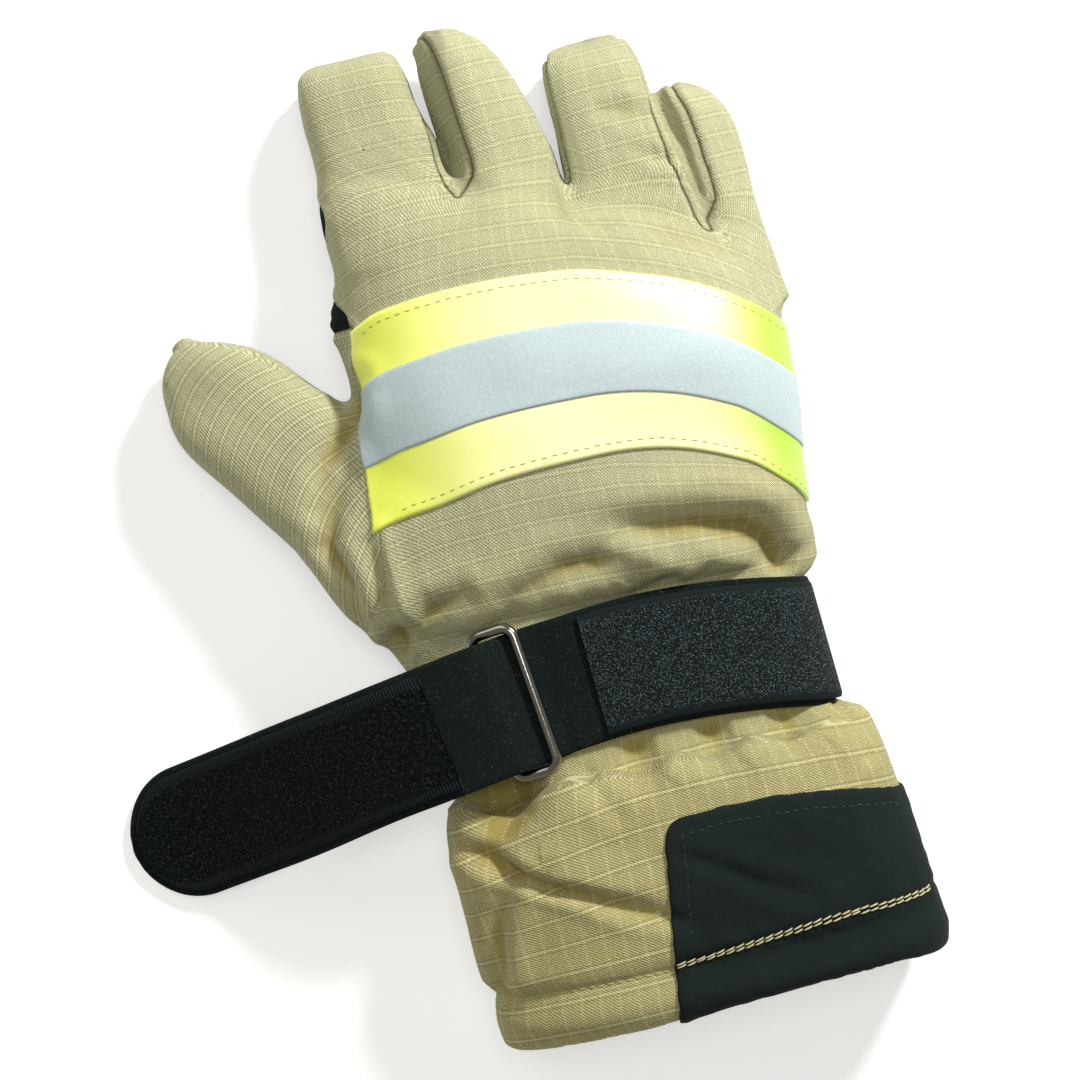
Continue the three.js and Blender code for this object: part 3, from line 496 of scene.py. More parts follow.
def thumb_tube():
    a = math.radians(THUMB_LEAN)
    along = unit(np.array([-math.sin(a), math.cos(a), -THUMB_DROP]))
    across = unit(np.cross(along, UP))
    out = np.cross(across, along)
    rows = [(-THUMB_ROOT, 0.42 * THUMB_WIDTH, 0.5 * THUMB_HEIGHT, 0, 0)]
    for at, width, top, foot, shift in THUMB_SECTIONS:
        high, off = (top - foot) * THUMB_HEIGHT / 2, (top + foot - 1) * THUMB_HEIGHT / 2
        rows.append((at * THUMB_LENGTH, width * THUMB_WIDTH / 2, high, shift, off))
    return Tube(THUMB_START, across, along, out, THUMB_LENGTH + 0.4, -THUMB_ROOT, rows, THUMBTIP_ROUND)


fingers = {name: finger(name, *row) for name, row in FINGERS.items()}
thumb = thumb_tube()


def solid_distance(x, y, z):
    """The glove as a full solid, without its hollow."""
    body = body_distance(x, y, z)
    total = body.copy()
    near = y > 0
    if near.any():
        xn, yn, zn, bn = x[near], y[near], z[near], body[near]
        tubes = [tube.distance(xn, yn, zn) for tube in fingers.values()]
        best = tubes[0]
        for distance in tubes[1:]:
            best = smooth_min(best, distance, CROTCH_BLEND)
        total[near] = smooth_min(bn, best, FINGER_BLEND)
    near = (x < -30) & (y > -60) & (y < 70)
    if near.any():
        reach = THUMB_BLEND + THUMB_BLEND_BACK * smooth((2 - y[near]) / 24)
        total[near] = smooth_min(total[near], thumb.distance(x[near], y[near], z[near]), reach)
    return np.maximum(total, -z)


def hem_rise(x):
    """The hem isn't quite square to the cuff."""
    return 5 * smooth((x + 62) / 90) - 2.5 * smooth((x - 45) / 20)


def skin_distance(x, y, z):
    """The glove with its open cuff and hollow hand."""
    whole = smooth_max(solid_distance(x, y, z), HEM_Y + hem_rise(x) - y, HEM_ROUND)
    wall = WALL + SEAT_WALL * bell((np.abs(y - SEAT_Y) - 23) / SEAT_WALL_FADE)
    hollow = np.maximum(body_distance(x, y, z) + wall, y - HOLLOW_FRONT)
    return smooth_max(whole, -hollow, LINING_ROUND)


def gradient(distance, p, h=0.25):
    out = np.empty_like(p)
    for k in range(3):
        a, b = p.copy(), p.copy()
        a[:, k] += h
        b[:, k] -= h
        out[:, k] = (distance(*a.T) - distance(*b.T)) / (2 * h)
    return out


def settle(distance, p, rounds=3):
    """Moves points onto the surface where the distance is 0."""
    for _ in range(rounds):
        g = gradient(distance, p)
        d = distance(*p.T)
        p = p - g * np.clip(d / np.maximum((g * g).sum(1), 0.2), -1, 1)[:, None]
    return p


def surface_nets(distance, low, high, step):
    """Quads round the zero surface of a distance, one vertex in each crossed cell."""
    counts = [int((end - start) / step) + 2 for start, end in zip(low, high)]
    field = np.empty(counts, np.float32)
    ys = low[1] + step * np.arange(counts[1])
    zs = low[2] + step * np.arange(counts[2])
    y, z = np.meshgrid(ys, zs, indexing="ij")
    for i in range(0, counts[0], SLAB):
        xs = low[0] + step * np.arange(i, min(i + SLAB, counts[0]))
        shape = (len(xs), *y.shape)
        x = np.broadcast_to(xs[:, None, None], shape).ravel()
        args = x, np.broadcast_to(y, shape).ravel(), np.broadcast_to(z, shape).ravel()
        field[i : i + SLAB] = distance(*args).reshape(shape)
    inside = field < 0
    total = sum(
        inside[a : a - 1 or None, b : b - 1 or None, c : c - 1 or None].astype(np.int8)
        for a in (0, 1) for b in (0, 1) for c in (0, 1)
    )
    cells = np.argwhere((total > 0) & (total < 8))
    number = np.full(total.shape, -1, np.int64)
    number[tuple(cells.T)] = np.arange(len(cells))
    place, hits = np.zeros((len(cells), 3)), np.zeros(len(cells))
    for axis in range(3):
        others = [k for k in range(3) if k != axis]
        for a in (0, 1):
            for b in (0, 1):
                near = np.zeros(3, int)
                near[others[0]], near[others[1]] = a, b
                far = near.copy()
                far[axis] = 1
                v0, v1 = field[tuple((cells + near).T)], field[tuple((cells + far).T)]
                cross = (v0 < 0) != (v1 < 0)
                point = np.tile(near.astype(float), (len(cells), 1))
                point[:, axis] = np.where(cross, v0 / np.where(cross, v0 - v1, 1), 0)
                place[cross] += point[cross]
                hits += cross
    verts = np.array(low) + step * (cells + place / hits[:, None])
    quads = []
    for axis in range(3):
        b, c = [(1, 2), (2, 0), (0, 1)][axis]
        one, two = [slice(None)] * 3, [slice(None)] * 3
        one[axis], two[axis] = slice(0, -1), slice(1, None)
        edges = np.argwhere(inside[tuple(one)] != inside[tuple(two)])
        at_b, at_c = edges[:, b], edges[:, c]
        edges = edges[(at_b > 0) & (at_c > 0) & (at_b < total.shape[b]) & (at_c < total.shape[c])]
        ring = []
        for db, dc in ((-1, -1), (0, -1), (0, 0), (-1, 0)):
            cell = edges.copy()
            cell[:, b] += db
            cell[:, c] += dc
            ring.append(number[tuple(cell.T)])
        quad = np.stack(ring, 1)
        flip = ~inside[tuple(edges.T)]
        quad[flip] = quad[flip][:, ::-1]
        quads.append(quad)
    return verts, np.concatenate(quads)


def face_edges(quads):
    """The four directed edges of each quad, in rows."""
    return np.stack([quads, np.roll(quads, -1, 1)], -1).reshape(-1, 2)


def vertex_normals(verts, quads):
    a, b, c, d = (verts[quads[:, k]] for k in range(4))
    n = np.cross(c - a, d - b)
    out = np.zeros_like(verts)
    for k in range(4):
        np.add.at(out, quads[:, k], n)
    return unit(out)


def calm(values, quads, rounds):
    """Averages a value or vector per vertex over its neighbours."""
    edges = face_edges(quads)
    count = np.bincount(edges.ravel(), minlength=len(values)).astype(float)
    for _ in range(rounds):
        total = np.zeros_like(values)
        for a, b in (edges.T, edges.T[::-1]):
            for k in range(values.shape[1]):
                total[:, k] += np.bincount(a, values[b, k], len(values))
        values = 0.4 * values + 0.6 * total / count[:, None]
    return values


def outward(verts, quads):
    """Calm directions out of the skin, of unit length."""
    return unit(calm(vertex_normals(verts, quads), quads, 12))


thumb_seam_x = curve(sorted((y * HAND_LENGTH, x * HAND_WIDTH) for x, y in THUMB_SEAM), 1)
SEAM_FRONT_Y = THUMB_SEAM[0][1] * HAND_LENGTH
SEAM_BACK_Y = THUMB_SEAM[-1][1] * HAND_LENGTH
PIECES = [
    "hand_back",
    "palm",
    "forchette_index_middle",
    "forchette_middle_ring",
    "forchette_ring_little",
    "thumb_back",
    "thumb_palm",
    "cuff",
]
BACK, PALM, WEB, THUMB_BACK, THUMB_PALM, CUFF = 0, 1, 2, 5, 6, 7


def tip_fall(share):
    """The seam between back and palm comes down towards a fingertip."""
    return smooth((share - 0.6) / 0.4)


def palm_seam_z(x, y, z):
    """The height of the seam between the back and the palm."""
    out = np.full(len(x), PALM_SEAM_Z)
    for tube in fingers.values():
        u, s, _ = tube.local(x, y, z)
        near = np.abs(u - tube.off_u(s)) < tube.wide(s) + 5
        out -= near * TIP_SEAM_DROP * tip_fall(s / tube.length)
    for middle, half, rise in LEATHER_RISES:
        out += rise * bell((y - middle) / half) * (x < -40)
    return out


def piece_of(p):
    """The number of the piece that each place on the skin belongs to."""
    x, y, z = p.T
    seam_z = palm_seam_z(x, y, z)
    label = np.where(z > seam_z, BACK, PALM)
    names = list(fingers)
    for number, (near, far) in enumerate(zip(names, names[1:])):
        for finger_name, side in ((near, 1), (far, -1)):
            tube = fingers[finger_name]
            root, tip, top = STRIP_SEAMS[finger_name][(side + 1) // 2]
            u, s, v = tube.local(x, y, z)
            wide = tube.wide(s)
            closing = 0.8 * (1 - smooth((s + 1) / 14))  # the strip runs out to a point at the crotch
            share = root + (tip - root) * np.clip(s / tube.length, 0, 1) + closing
            on = (side * (u - tube.off_u(s)) > wide * share) & (v < top * tube.high(s) + tube.off_v(s))
            on &= (s > -6) & (s < 0.97 * tube.length) & (side * u < wide + 6) & (z > seam_z)
            label[on] = WEB + number
    on_thumb = (x < thumb_seam_x(y)) & (y > SEAM_BACK_Y) & (y < SEAM_FRONT_Y)
    on_thumb |= (x < -0.57 * HAND_WIDTH) & (y >= SEAM_FRONT_Y)
    on_thumb &= body_distance(x, y, z) > -WALL / 2
    _, along, _ = thumb.local(x, y, z)
    thumb_seam_z = THUMB_SEAM_Z - THUMB_TIP_SEAM_DROP * tip_fall(along / THUMB_LENGTH)
    label[on_thumb] = np.where(z > thumb_seam_z, THUMB_BACK, THUMB_PALM)[on_thumb]
    label[y < WRIST_Y] = CUFF
    return label


def ease_seams(verts, quads, label, distance, rounds=10):
    """Straightens the steps in the lines between pieces. Returns the vertices and which lie on a seam."""
    edges = face_edges(quads)
    owner = np.repeat(label, 4)
    key = np.sort(edges, 1)
    order = np.lexsort(key.T)
    key, owner = key[order], owner[order]
    same = (key[1:] == key[:-1]).all(1)
    seam = key[1:][same & (owner[1:] != owner[:-1])]
    count = np.zeros(len(verts), int)
    np.add.at(count, seam.ravel(), 1)
    free = count == 2
    for _ in range(rounds):
        total = np.zeros_like(verts)
        for a, b in (seam.T, seam.T[::-1]):
            np.add.at(total, a, verts[b])
        verts = verts.copy()
        verts[free] += 0.6 * (total[free] / 2 - verts[free])
    on = count > 0
    verts[on] = settle(distance, verts[on], 2)
    return verts, on


def spread(verts, quads, start, reach):
    """Roughly each vertex's distance along the skin from the vertices in start."""
    edges = face_edges(quads)
    length = np.linalg.norm(verts[edges[:, 0]] - verts[edges[:, 1]], axis=1)
    out = np.where(start, 0.0, 1e3)
    for _ in range(int(reach / STEP) + 2):
        for a, b in (edges.T, edges.T[::-1]):
            np.minimum.at(out, a, out[b] + length)
    return out


waves = [(rng.normal(size=3), rng.uniform(0, 2 * np.pi)) for _ in range(9)]


def ripple(p, size):
    """Soft unevenness between about -1 and 1."""
    total = 0
    for direction, phase in waves:
        total = total + np.sin(p @ direction * (2 * np.pi / size / np.linalg.norm(direction)) + phase)
    return total / 4


def fold_lift(p, n):
    """How far folds and unevenness move the skin along its normal."""
    x, y = p[:, 0], p[:, 1]
    upper = smooth((n[:, 2] + 0.15) / 0.5)
    lift = np.zeros(len(p))
    wander = 1.1 * ripple(p, 17)[:, None] * np.array([0.6, 0.5])
    for fold in FOLDS:
        knots = np.array(fold, float)
        reach = 3.2 * knots[:, 2].max()
        (low_x, low_y), (high_x, high_y) = knots[:, :2].min(0) - reach, knots[:, :2].max(0) + reach
        near = np.flatnonzero((x > low_x) & (x < high_x) & (y > low_y) & (y < high_y))
        q = p[near, :2] + wander[near]
        best, valley = np.full(len(near), 9.0), np.zeros(len(near))
        for a, b in zip(knots, knots[1:]):
            ab = b[:2] - a[:2]
            t = np.clip((q - a[:2]) @ ab / (ab @ ab), 0, 1)
            half, depth = a[2] + t * (b[2] - a[2]), a[3] + t * (b[3] - a[3])
            away = np.linalg.norm(q - a[:2] - t[:, None] * ab, axis=1) / half
            closer = away < best
            shape = -depth * np.exp(-(away**1.7)) + BRIM * depth * bell(away - 2)
            best, valley = np.where(closer, away, best), np.where(closer, shape, valley)
        lift[near] += valley
    lift = np.clip(lift, -DEEPEST_FOLD, HIGHEST_FOLD)
    seat = np.abs(y - SEAT_Y) - STRAP_SEAT / 2  # below 0 under the strap, which holds the cloth flat
    lift *= upper * np.where(lift > 0, smooth((seat + 4) / 9), smooth((seat + 9) / 8))
    soft = ripple(p, 46) * 0.5 + ripple(p, 21) * 0.22
    gather = smooth(1 - seat / 16) * smooth((seat + 3) / 9)
    turn = np.arctan2(p[:, 2] - 20, x) * 30
    gather_lift = 0.2 * gather * np.sin(turn * 2 * np.pi / GATHER_PITCH + 2 * ripple(p, 60))
    middle, half, _ = LEATHER_RISES[0]
    bulge = LEATHER_BULGE * bell((y - middle) / half) * smooth((-44 - x) / 8) * smooth((30 - p[:, 2]) / 8)
    return lift + (soft + gather_lift + bulge) * smooth(p[:, 2] / 6)


def make_mesh(name, verts, faces, material, uv=None, **values):
    """A mesh object from vertices in millimetres. uv and each further value have a row for each vertex."""
    faces = np.asarray(faces)
    mesh = bpy.data.meshes.new(name)
    mesh.vertices.add(len(verts))
    mesh.vertices.foreach_set("co", (np.asarray(verts, float) * MM).ravel())
    mesh.loops.add(faces.size)
    mesh.loops.foreach_set("vertex_index", faces.ravel())
    mesh.polygons.add(len(faces))
    mesh.polygons.foreach_set("loop_start", np.arange(len(faces)) * faces.shape[1])
    mesh.polygons.foreach_set("use_smooth", np.ones(len(faces), bool))
    if uv is not None:
        mesh.uv_layers.new(name="weave").data.foreach_set("uv", np.asarray(uv)[faces.ravel()].ravel())
    for key, value in values.items():
        mesh.attributes.new(key, "FLOAT", "POINT").data.foreach_set("value", np.asarray(value, float))
    mesh.update(calc_edges=True)
    mesh.validate()
    obj = bpy.data.objects.new(name, mesh)
    bpy.context.scene.collection.objects.link(obj)
    mesh.materials.append(material)
    return obj


def finish_piece(obj, node=None):
    """The whole glove is one body. node is the solid that the piece stands for."""
    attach(obj, "root")
    if node:
        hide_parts(node)


# Materials. Each helper returns a socket, so that a pattern reads like a formula.


class Shader:
    def __init__(self, name, roughness=0.8, metallic=0.0, **sockets):
        self.material = bpy.data.materials.new(name)
        self.material.use_nodes = True
        self.tree = self.material.node_tree
        self.bsdf = self.tree.nodes["Principled BSDF"]
        self.bsdf.inputs["Roughness"].default_value = roughness
        self.bsdf.inputs["Metallic"].default_value = metallic
        for key, value in sockets.items():
            self.bsdf.inputs[key.replace("_", " ")].default_value = value

    def node(self, kind, **settings):
        node = self.tree.nodes.new(kind)
        for key, value in settings.items():
            setattr(node, key, value)
        return node

    def put(self, socket, value):
        """Links a socket or sets a plain value."""
        if isinstance(value, bpy.types.NodeSocket):
            self.tree.links.new(value, socket)
        else:
            socket.default_value = value

    def math(self, operation, *values):
        node = self.node("ShaderNodeMath", operation=operation)
        for socket, value in zip(node.inputs, values):
            self.put(socket, value)
        return node.outputs[0]

    def add(self, *values):
        total = values[0]
        for value in values[1:]:
            total = self.math("ADD", total, value)
        return total

    def times(self, *values):
        product = values[0]
        for value in values[1:]:
            product = self.math("MULTIPLY", product, value)
        return product

    def minus(self, value):
        """1 less a value."""
        return self.math("SUBTRACT", 1, value)

    def fall(self, value, low, high):
        """1 below low, and 0 above high."""
        return self.minus(self.ramp(value, low, high))

    def apart(self, value, middle):
        return self.math("ABSOLUTE", self.add(value, -middle))

    def wave(self, value, pitch):
        return self.math("SINE", self.times(value, 2 * math.pi / pitch))

    def ramp(self, value, low, high, to_low=0.0, to_high=1.0):
        node = self.node("ShaderNodeMapRange", interpolation_type="SMOOTHSTEP")
        for socket, given in zip(node.inputs, (value, low, high, to_low, to_high)):
            self.put(socket, given)
        return node.outputs[0]

    def attribute(self, name):
        return self.node("ShaderNodeAttribute", attribute_name=name).outputs["Fac"]

    def uv(self):
        pair = self.node("ShaderNodeSeparateXYZ")
        self.put(pair.inputs[0], self.node("ShaderNodeUVMap", uv_map="weave").outputs[0])
        return pair.outputs[0], pair.outputs[1]

    def where(self):
        return self.node("ShaderNodeTexCoord").outputs["Object"]

    def noise(self, scale, detail=2.0, vector=None, roughness=0.5):
        node = self.node("ShaderNodeTexNoise")
        self.put(node.inputs["Vector"], vector or self.where())
        node.inputs["Scale"].default_value = scale
        node.inputs["Detail"].default_value = detail
        node.inputs["Roughness"].default_value = roughness
        return node.outputs["Fac"]

    def cells(self, scale, vector=None):
        node = self.node("ShaderNodeTexVoronoi")
        self.put(node.inputs["Vector"], vector or self.where())
        node.inputs["Scale"].default_value = scale
        return node.outputs["Distance"]

    def mix(self, factor, a, b):
        node = self.node("ShaderNodeMix", data_type="RGBA")
        self.put(node.inputs[0], factor)
        for socket, colour in ((node.inputs[6], a), (node.inputs[7], b)):
            self.put(socket, (*colour, 1) if isinstance(colour, tuple) else colour)
        return node.outputs[2]

    def combine(self, x, y, z=0.0):
        node = self.node("ShaderNodeCombineXYZ")
        for socket, value in zip(node.inputs, (x, y, z)):
            self.put(socket, value)
        return node.outputs[0]

    def colour(self, value):
        self.put(self.bsdf.inputs["Base Color"], (*value, 1) if isinstance(value, tuple) else value)

    def bump(self, height, distance, strength=1.0):
        node = self.node("ShaderNodeBump")
        node.inputs["Distance"].default_value = distance * MM
        node.inputs["Strength"].default_value = strength
        self.put(node.inputs["Height"], height)
        self.put(self.bsdf.inputs["Normal"], node.outputs[0])


def cloth_material(name, rib_pitch, rib_strength, twill_angle, twill_strength, fray):
    """Ripstop cloth. Its thicker yarns and its twill lie differently in each piece."""
    sh = Shader(name, roughness=0.88, Sheen_Weight=0.08, Sheen_Roughness=0.5, Specular_IOR_Level=0.2)
    u, v = sh.uv()
    drift = sh.times(sh.add(sh.noise(24, 2), -0.5), 2.0)
    u, v = sh.add(u, drift), sh.add(v, drift)
    wobble = sh.noise(1.0, 3, sh.combine(sh.times(u, 0.8), sh.times(v, 1.5)), 0.65)
    yarn = sh.noise(1.0, 3, sh.combine(sh.times(u, 1.6), sh.times(v, 2.4)), 0.7)
    broken = sh.ramp(wobble, 0.36, 0.58)

    # The thick yarns across, each with its shadow, and the dotted ones along
    row = sh.math("FRACT", sh.times(v, 1 / rib_pitch))
    off_row = sh.times(sh.apart(row, 0.5), rib_pitch)
    beads = sh.add(sh.times(sh.wave(u, BEAD_PITCH), 0.3), 0.7)
    rib = sh.times(sh.fall(off_row, 0.13, 0.32), beads, sh.add(sh.times(broken, 0.5), 0.5))
    shade = sh.fall(sh.apart(off_row, 0.75), 0.05, 0.35)
    column = sh.math("FRACT", sh.times(u, 1 / DOT_PITCH))
    dots = sh.ramp(sh.wave(v, DOT_LENGTH), 0.0, 0.7)
    dot = sh.times(sh.fall(sh.apart(column, 0.5), 0.06, 0.13), dots, sh.add(sh.times(broken, 0.8), 0.2))

    # The fine slanting twill, which is less clear down in a fold
    a = math.radians(twill_angle)
    slope = sh.add(sh.times(u, math.cos(a)), sh.times(v, math.sin(a)), sh.times(wobble, fray))
    twill = sh.add(sh.times(sh.wave(slope, TWILL_PITCH), 0.5), 0.5)
    twill = sh.times(twill, sh.add(sh.times(yarn, 0.9), 0.35))
    # How deep in a fold the cloth lies, from which it paints shade there
    deep = sh.attribute("deep")
    shown = sh.minus(sh.times(deep, 0.6))

    # Painted light and shade: paler and greener cloth towards the fingers, darker and yellower towards the
    # cuff and the wrist's right
    place = sh.node("ShaderNodeSeparateXYZ")
    sh.put(place.inputs[0], sh.where())
    right = sh.math("MAXIMUM", place.outputs[0], 0.0)
    patchy = sh.times(sh.add(sh.noise(14, 2), -0.5), 0.12)
    painted_light_share = sh.ramp(sh.add(place.outputs[1], sh.times(right, -0.8), patchy), -0.115, -0.02)
    washed = sh.ramp(sh.noise(26, 3), 0.3, 0.7)
    speck = sh.fall(sh.cells(60), 0.016, 0.028)
    away = sh.attribute("away")
    seam = sh.add(sh.times(sh.fall(away, 0.15, 0.55), 0.42), sh.times(sh.fall(away, 0.3, 1.6), 0.16))
    tone = sh.mix(painted_light_share, (0.50, 0.445, 0.185), (0.585, 0.598, 0.385))
    for share, colour in (
        (sh.times(washed, 0.3), (0.46, 0.48, 0.26)),
        (sh.times(sh.ramp(yarn, 0.42, 0.7), 0.55), (0.82, 0.80, 0.52)),
        (sh.times(sh.minus(twill), shown, twill_strength), (0.14, 0.12, 0.04)),
        # Painted shade: dark brown down in the folds
        (sh.times(deep, 0.88), (0.275, 0.215, 0.05)),
        (sh.times(shade, 0.6 * rib_strength), (0.16, 0.13, 0.04)),
        (sh.times(rib, shown, rib_strength), (0.80, 0.78, 0.46)),
        (sh.times(dot, 0.45), (0.78, 0.75, 0.5)),
        (sh.times(speck, 0.8), (0.06, 0.045, 0.02)),
        (seam, (0.05, 0.04, 0.015)),
    ):
        tone = sh.mix(share, tone, colour)
    sh.colour(tone)
    yarns = sh.add(sh.times(rib, 0.8 * rib_strength), sh.times(dot, 0.5), sh.times(yarn, 0.6))
    sh.bump(sh.add(sh.times(twill, shown, 0.8), yarns, sh.times(sh.ramp(away, 0.0, 0.7), 1.2)), 0.15)
    return sh.material


def suede_material(name, dark, light, lint=0.0):
    sh = Shader(name, roughness=0.95, Sheen_Weight=0.06, Sheen_Roughness=0.45, Specular_IOR_Level=0.08)
    sh.bsdf.inputs["Sheen Tint"].default_value = (0.5, 0.6, 0.6, 1)
    nap = sh.noise(900, 4, roughness=0.7)
    broad = sh.noise(60, 3)
    tone = sh.mix(sh.add(sh.times(nap, 0.55), sh.times(broad, 0.45), -0.1), dark, light)
    if lint:
        fleck = sh.times(sh.fall(sh.cells(1500), 0.15, 0.5), sh.ramp(nap, 0.5, 0.68))
        tone = sh.mix(sh.times(fleck, lint), tone, (0.07, 0.10, 0.095))
    sh.colour(tone)
    sh.bump(sh.add(nap, sh.times(broad, 0.5)), 0.25)
    return sh.material


def tape_material():
    sh = Shader("lime_tape", roughness=0.42, Specular_IOR_Level=0.8, Coat_Weight=0.6, Coat_Roughness=0.45)
    along = sh.attribute("along")
    # Painted highlight: a pale cream glare across the tape's middle
    middle = sh.times(sh.ramp(along, 0.03, 0.34), sh.fall(along, 0.63, 0.86))
    # Painted light and shade: the tape's left end is painted a brighter lime and its right end a darker one
    tone = sh.mix(sh.ramp(along, 0.3, 0.9), (0.90, 1.0, 0.11), (0.42, 0.68, 0.02))
    sh.colour(sh.mix(sh.times(middle, 0.85), tone, (0.97, 0.91, 0.50)))
    sh.bump(sh.noise(700, 2), 0.03)
    return sh.material


def silver_material():
    sh = Shader("silver_tape", roughness=0.6, metallic=0.1, Specular_IOR_Level=0.4)
    grain = sh.noise(1300, 2)
    sh.colour(sh.mix(sh.ramp(grain, 0.35, 0.7), (0.46, 0.565, 0.585), (0.515, 0.625, 0.655)))
    sh.bump(grain, 0.03)
    return sh.material


def hook_material():
    sh = Shader("hook_tape", roughness=0.8, Specular_IOR_Level=0.15)
    u, v = sh.uv()
    inner = sh.attribute("field")
    spot = sh.fall(sh.cells(1.9, sh.combine(sh.times(u, 1.25), v)), 0.1, 0.6)
    grain = sh.noise(1.6, 3, sh.combine(u, v), 0.8)
    lit = sh.times(spot, sh.ramp(grain, 0.42, 0.6, 0.15, 1.0), inner)
    base = sh.mix(inner, (0.006, 0.0105, 0.012), (0.005, 0.009, 0.0105))
    sh.colour(sh.mix(lit, base, (0.22, 0.30, 0.33)))
    sh.bump(sh.times(sh.add(spot, grain), inner), 0.7)
    return sh.material


def pile_material():
    sh = Shader("pile_tape", roughness=0.95, Specular_IOR_Level=0.1)
    u, v = sh.uv()
    inner = sh.attribute("field")
    fuzz = sh.noise(1.2, 5, sh.combine(u, v), 0.85)
    fleck = sh.fall(sh.cells(1.8, sh.combine(sh.times(u, 1.6), v)), 0.1, 0.45)
    fleck = sh.times(fleck, sh.ramp(sh.noise(0.9, 2, sh.combine(v, u)), 0.4, 0.6))
    rib = sh.ramp(sh.wave(u, 0.9), -0.3, 0.6)
    field = sh.mix(sh.ramp(fuzz, 0.45, 0.75), (0.0015, 0.003, 0.0032), (0.014, 0.02, 0.022))
    field = sh.mix(sh.times(fleck, 0.9), field, (0.075, 0.095, 0.1))
    edge = sh.mix(rib, (0.004, 0.006, 0.007), (0.018, 0.024, 0.027))
    sh.colour(sh.mix(inner, edge, field))
    sh.bump(sh.add(sh.times(fuzz, inner, 2), sh.times(rib, sh.minus(inner), 0.4)), 0.5)
    return sh.material


def steel_material():
    sh = Shader("dark_nickel", roughness=0.17, metallic=1.0)
    sh.colour(sh.mix(sh.noise(120, 3), (0.33, 0.32, 0.31), (0.47, 0.46, 0.45)))
    sh.bump(sh.noise(900, 2), 0.02)
    return sh.material


def thread_material(name, colour, deep):
    sh = Shader(name, roughness=0.7, Sheen_Weight=0.2)
    sh.colour(sh.mix(sh.noise(900, 2), deep, colour))
    sh.bump(sh.noise(1500, 2), 0.06)
    return sh.material


cloths = {
    "hand": cloth_material("hand_cloth", 5.8, 0.36, 36, 0.6, 1.1),
    "thumb": cloth_material("thumb_cloth", 4.6, 0.58, -6, 0.62, 0.6),
    "cuff": cloth_material("cuff_cloth", 8.2, 0.62, 52, 0.7, 0.6),
}
leather = suede_material("palm_leather", (0.005, 0.0085, 0.0082), (0.015, 0.0225, 0.0215))
suede = suede_material("black_suede", (0.0065, 0.011, 0.0105), (0.019, 0.028, 0.0265))
strap_suede = suede_material("strap_suede", (0.0035, 0.006, 0.0058), (0.012, 0.0175, 0.0165), 0.5)
lime = tape_material()
silver = silver_material()
hook = hook_material()
pile = pile_material()
steel = steel_material()
cream_thread = thread_material("cream_thread", (0.62, 0.58, 0.36), (0.42, 0.38, 0.2))
olive_thread = thread_material("olive_thread", (0.52, 0.52, 0.17), (0.36, 0.35, 0.10))
black_thread = thread_material("black_thread", (0.005, 0.007, 0.007), (0.002, 0.003, 0.003))

# The skin of the whole glove, and its pieces
LOW, HIGH = (-124.0, -170.0, -3.0), (68.0, 122.0, 56.0)
verts, quads = surface_nets(skin_distance, LOW, HIGH, STEP)
verts = settle(skin_distance, verts)
labels = piece_of(verts[quads].mean(1))
verts, on_seam = ease_seams(verts, quads, labels, skin_distance)
inward = body_distance(*verts.T) < -WALL / 2
visible_seam = on_seam & (np.abs(verts[:, 1] - WRIST_Y) > 2) & ~inward
from_seam = spread(verts, quads, visible_seam, SEAM_REACH)
# The thumb's seam fades out behind the palm, where the cloth's folds take it up
beside_thumb = (verts[:, 0] < -45) & (verts[:, 2] > 16) & (verts[:, 1] > -64)
from_seam += np.where(beside_thumb, 8 * smooth((-4 - verts[:, 1]) / 14), 0)
normals = outward(verts, quads)


def seam_lift(away):
    """A sewn seam is a groove between two low swellings."""
    return -0.6 * bell(away / 0.9) + 0.4 * bell((away - 2.4) / 1.2)


outwards = np.where(inward[:, None], -normals, normals)
lift = fold_lift(verts, outwards) + np.where(inward, 0, seam_lift(from_seam))
lift *= np.where(inward, smooth((verts[:, 1] - HEM_Y - 4) / 8), 1)
hem_line = HEM_LINE_DEPTH * bell((verts[:, 1] - HEM_LINE_Y) / HEM_LINE_HALF)
lift -= np.where(inward, 0, hem_line * smooth(verts[:, 2] / 4))
# How deep in a fold each vertex lies. The cloth paints shade from it: dark brown down in the folds, with its
# weave shown fainter there
painted_fold_shade = np.where(inward, 0, smooth((-0.1 - lift) / 3.4) * (verts[:, 2] > 4))
skin = verts + outwards * lift[:, None]
skin[:, 2] = np.maximum(skin[:, 2], 0)
skin_normals = vertex_normals(skin, quads)


def arc_table(wide, top, foot, power_top, power_foot):
    """Length along a section's outline against the angle seen from its middle, 0 at the top."""
    t = np.linspace(-np.pi, np.pi, 721)
    c, s = np.sin(t), np.cos(t)
    high, power = np.where(s > 0, top, foot), np.where(s > 0, power_top, power_foot)
    r = ((np.abs(c) / wide) ** power + (np.abs(s) / high) ** power) ** (-1 / power)
    length = length_along(np.stack([r * c, r * s], 1))
    length -= length[len(t) // 2]
    return lambda angle: np.interp(angle, t, length)


body_arc = arc_table(60, 27, 23, TOP_POWER, FOOT_POWER)
tape_front = curve([(x * HAND_WIDTH, y * HAND_LENGTH) for x, y, _ in TAPE_EDGE], 1)
tape_width = curve([(x * HAND_WIDTH, width * TAPE_WIDTH) for x, _, width in TAPE_EDGE], 1)


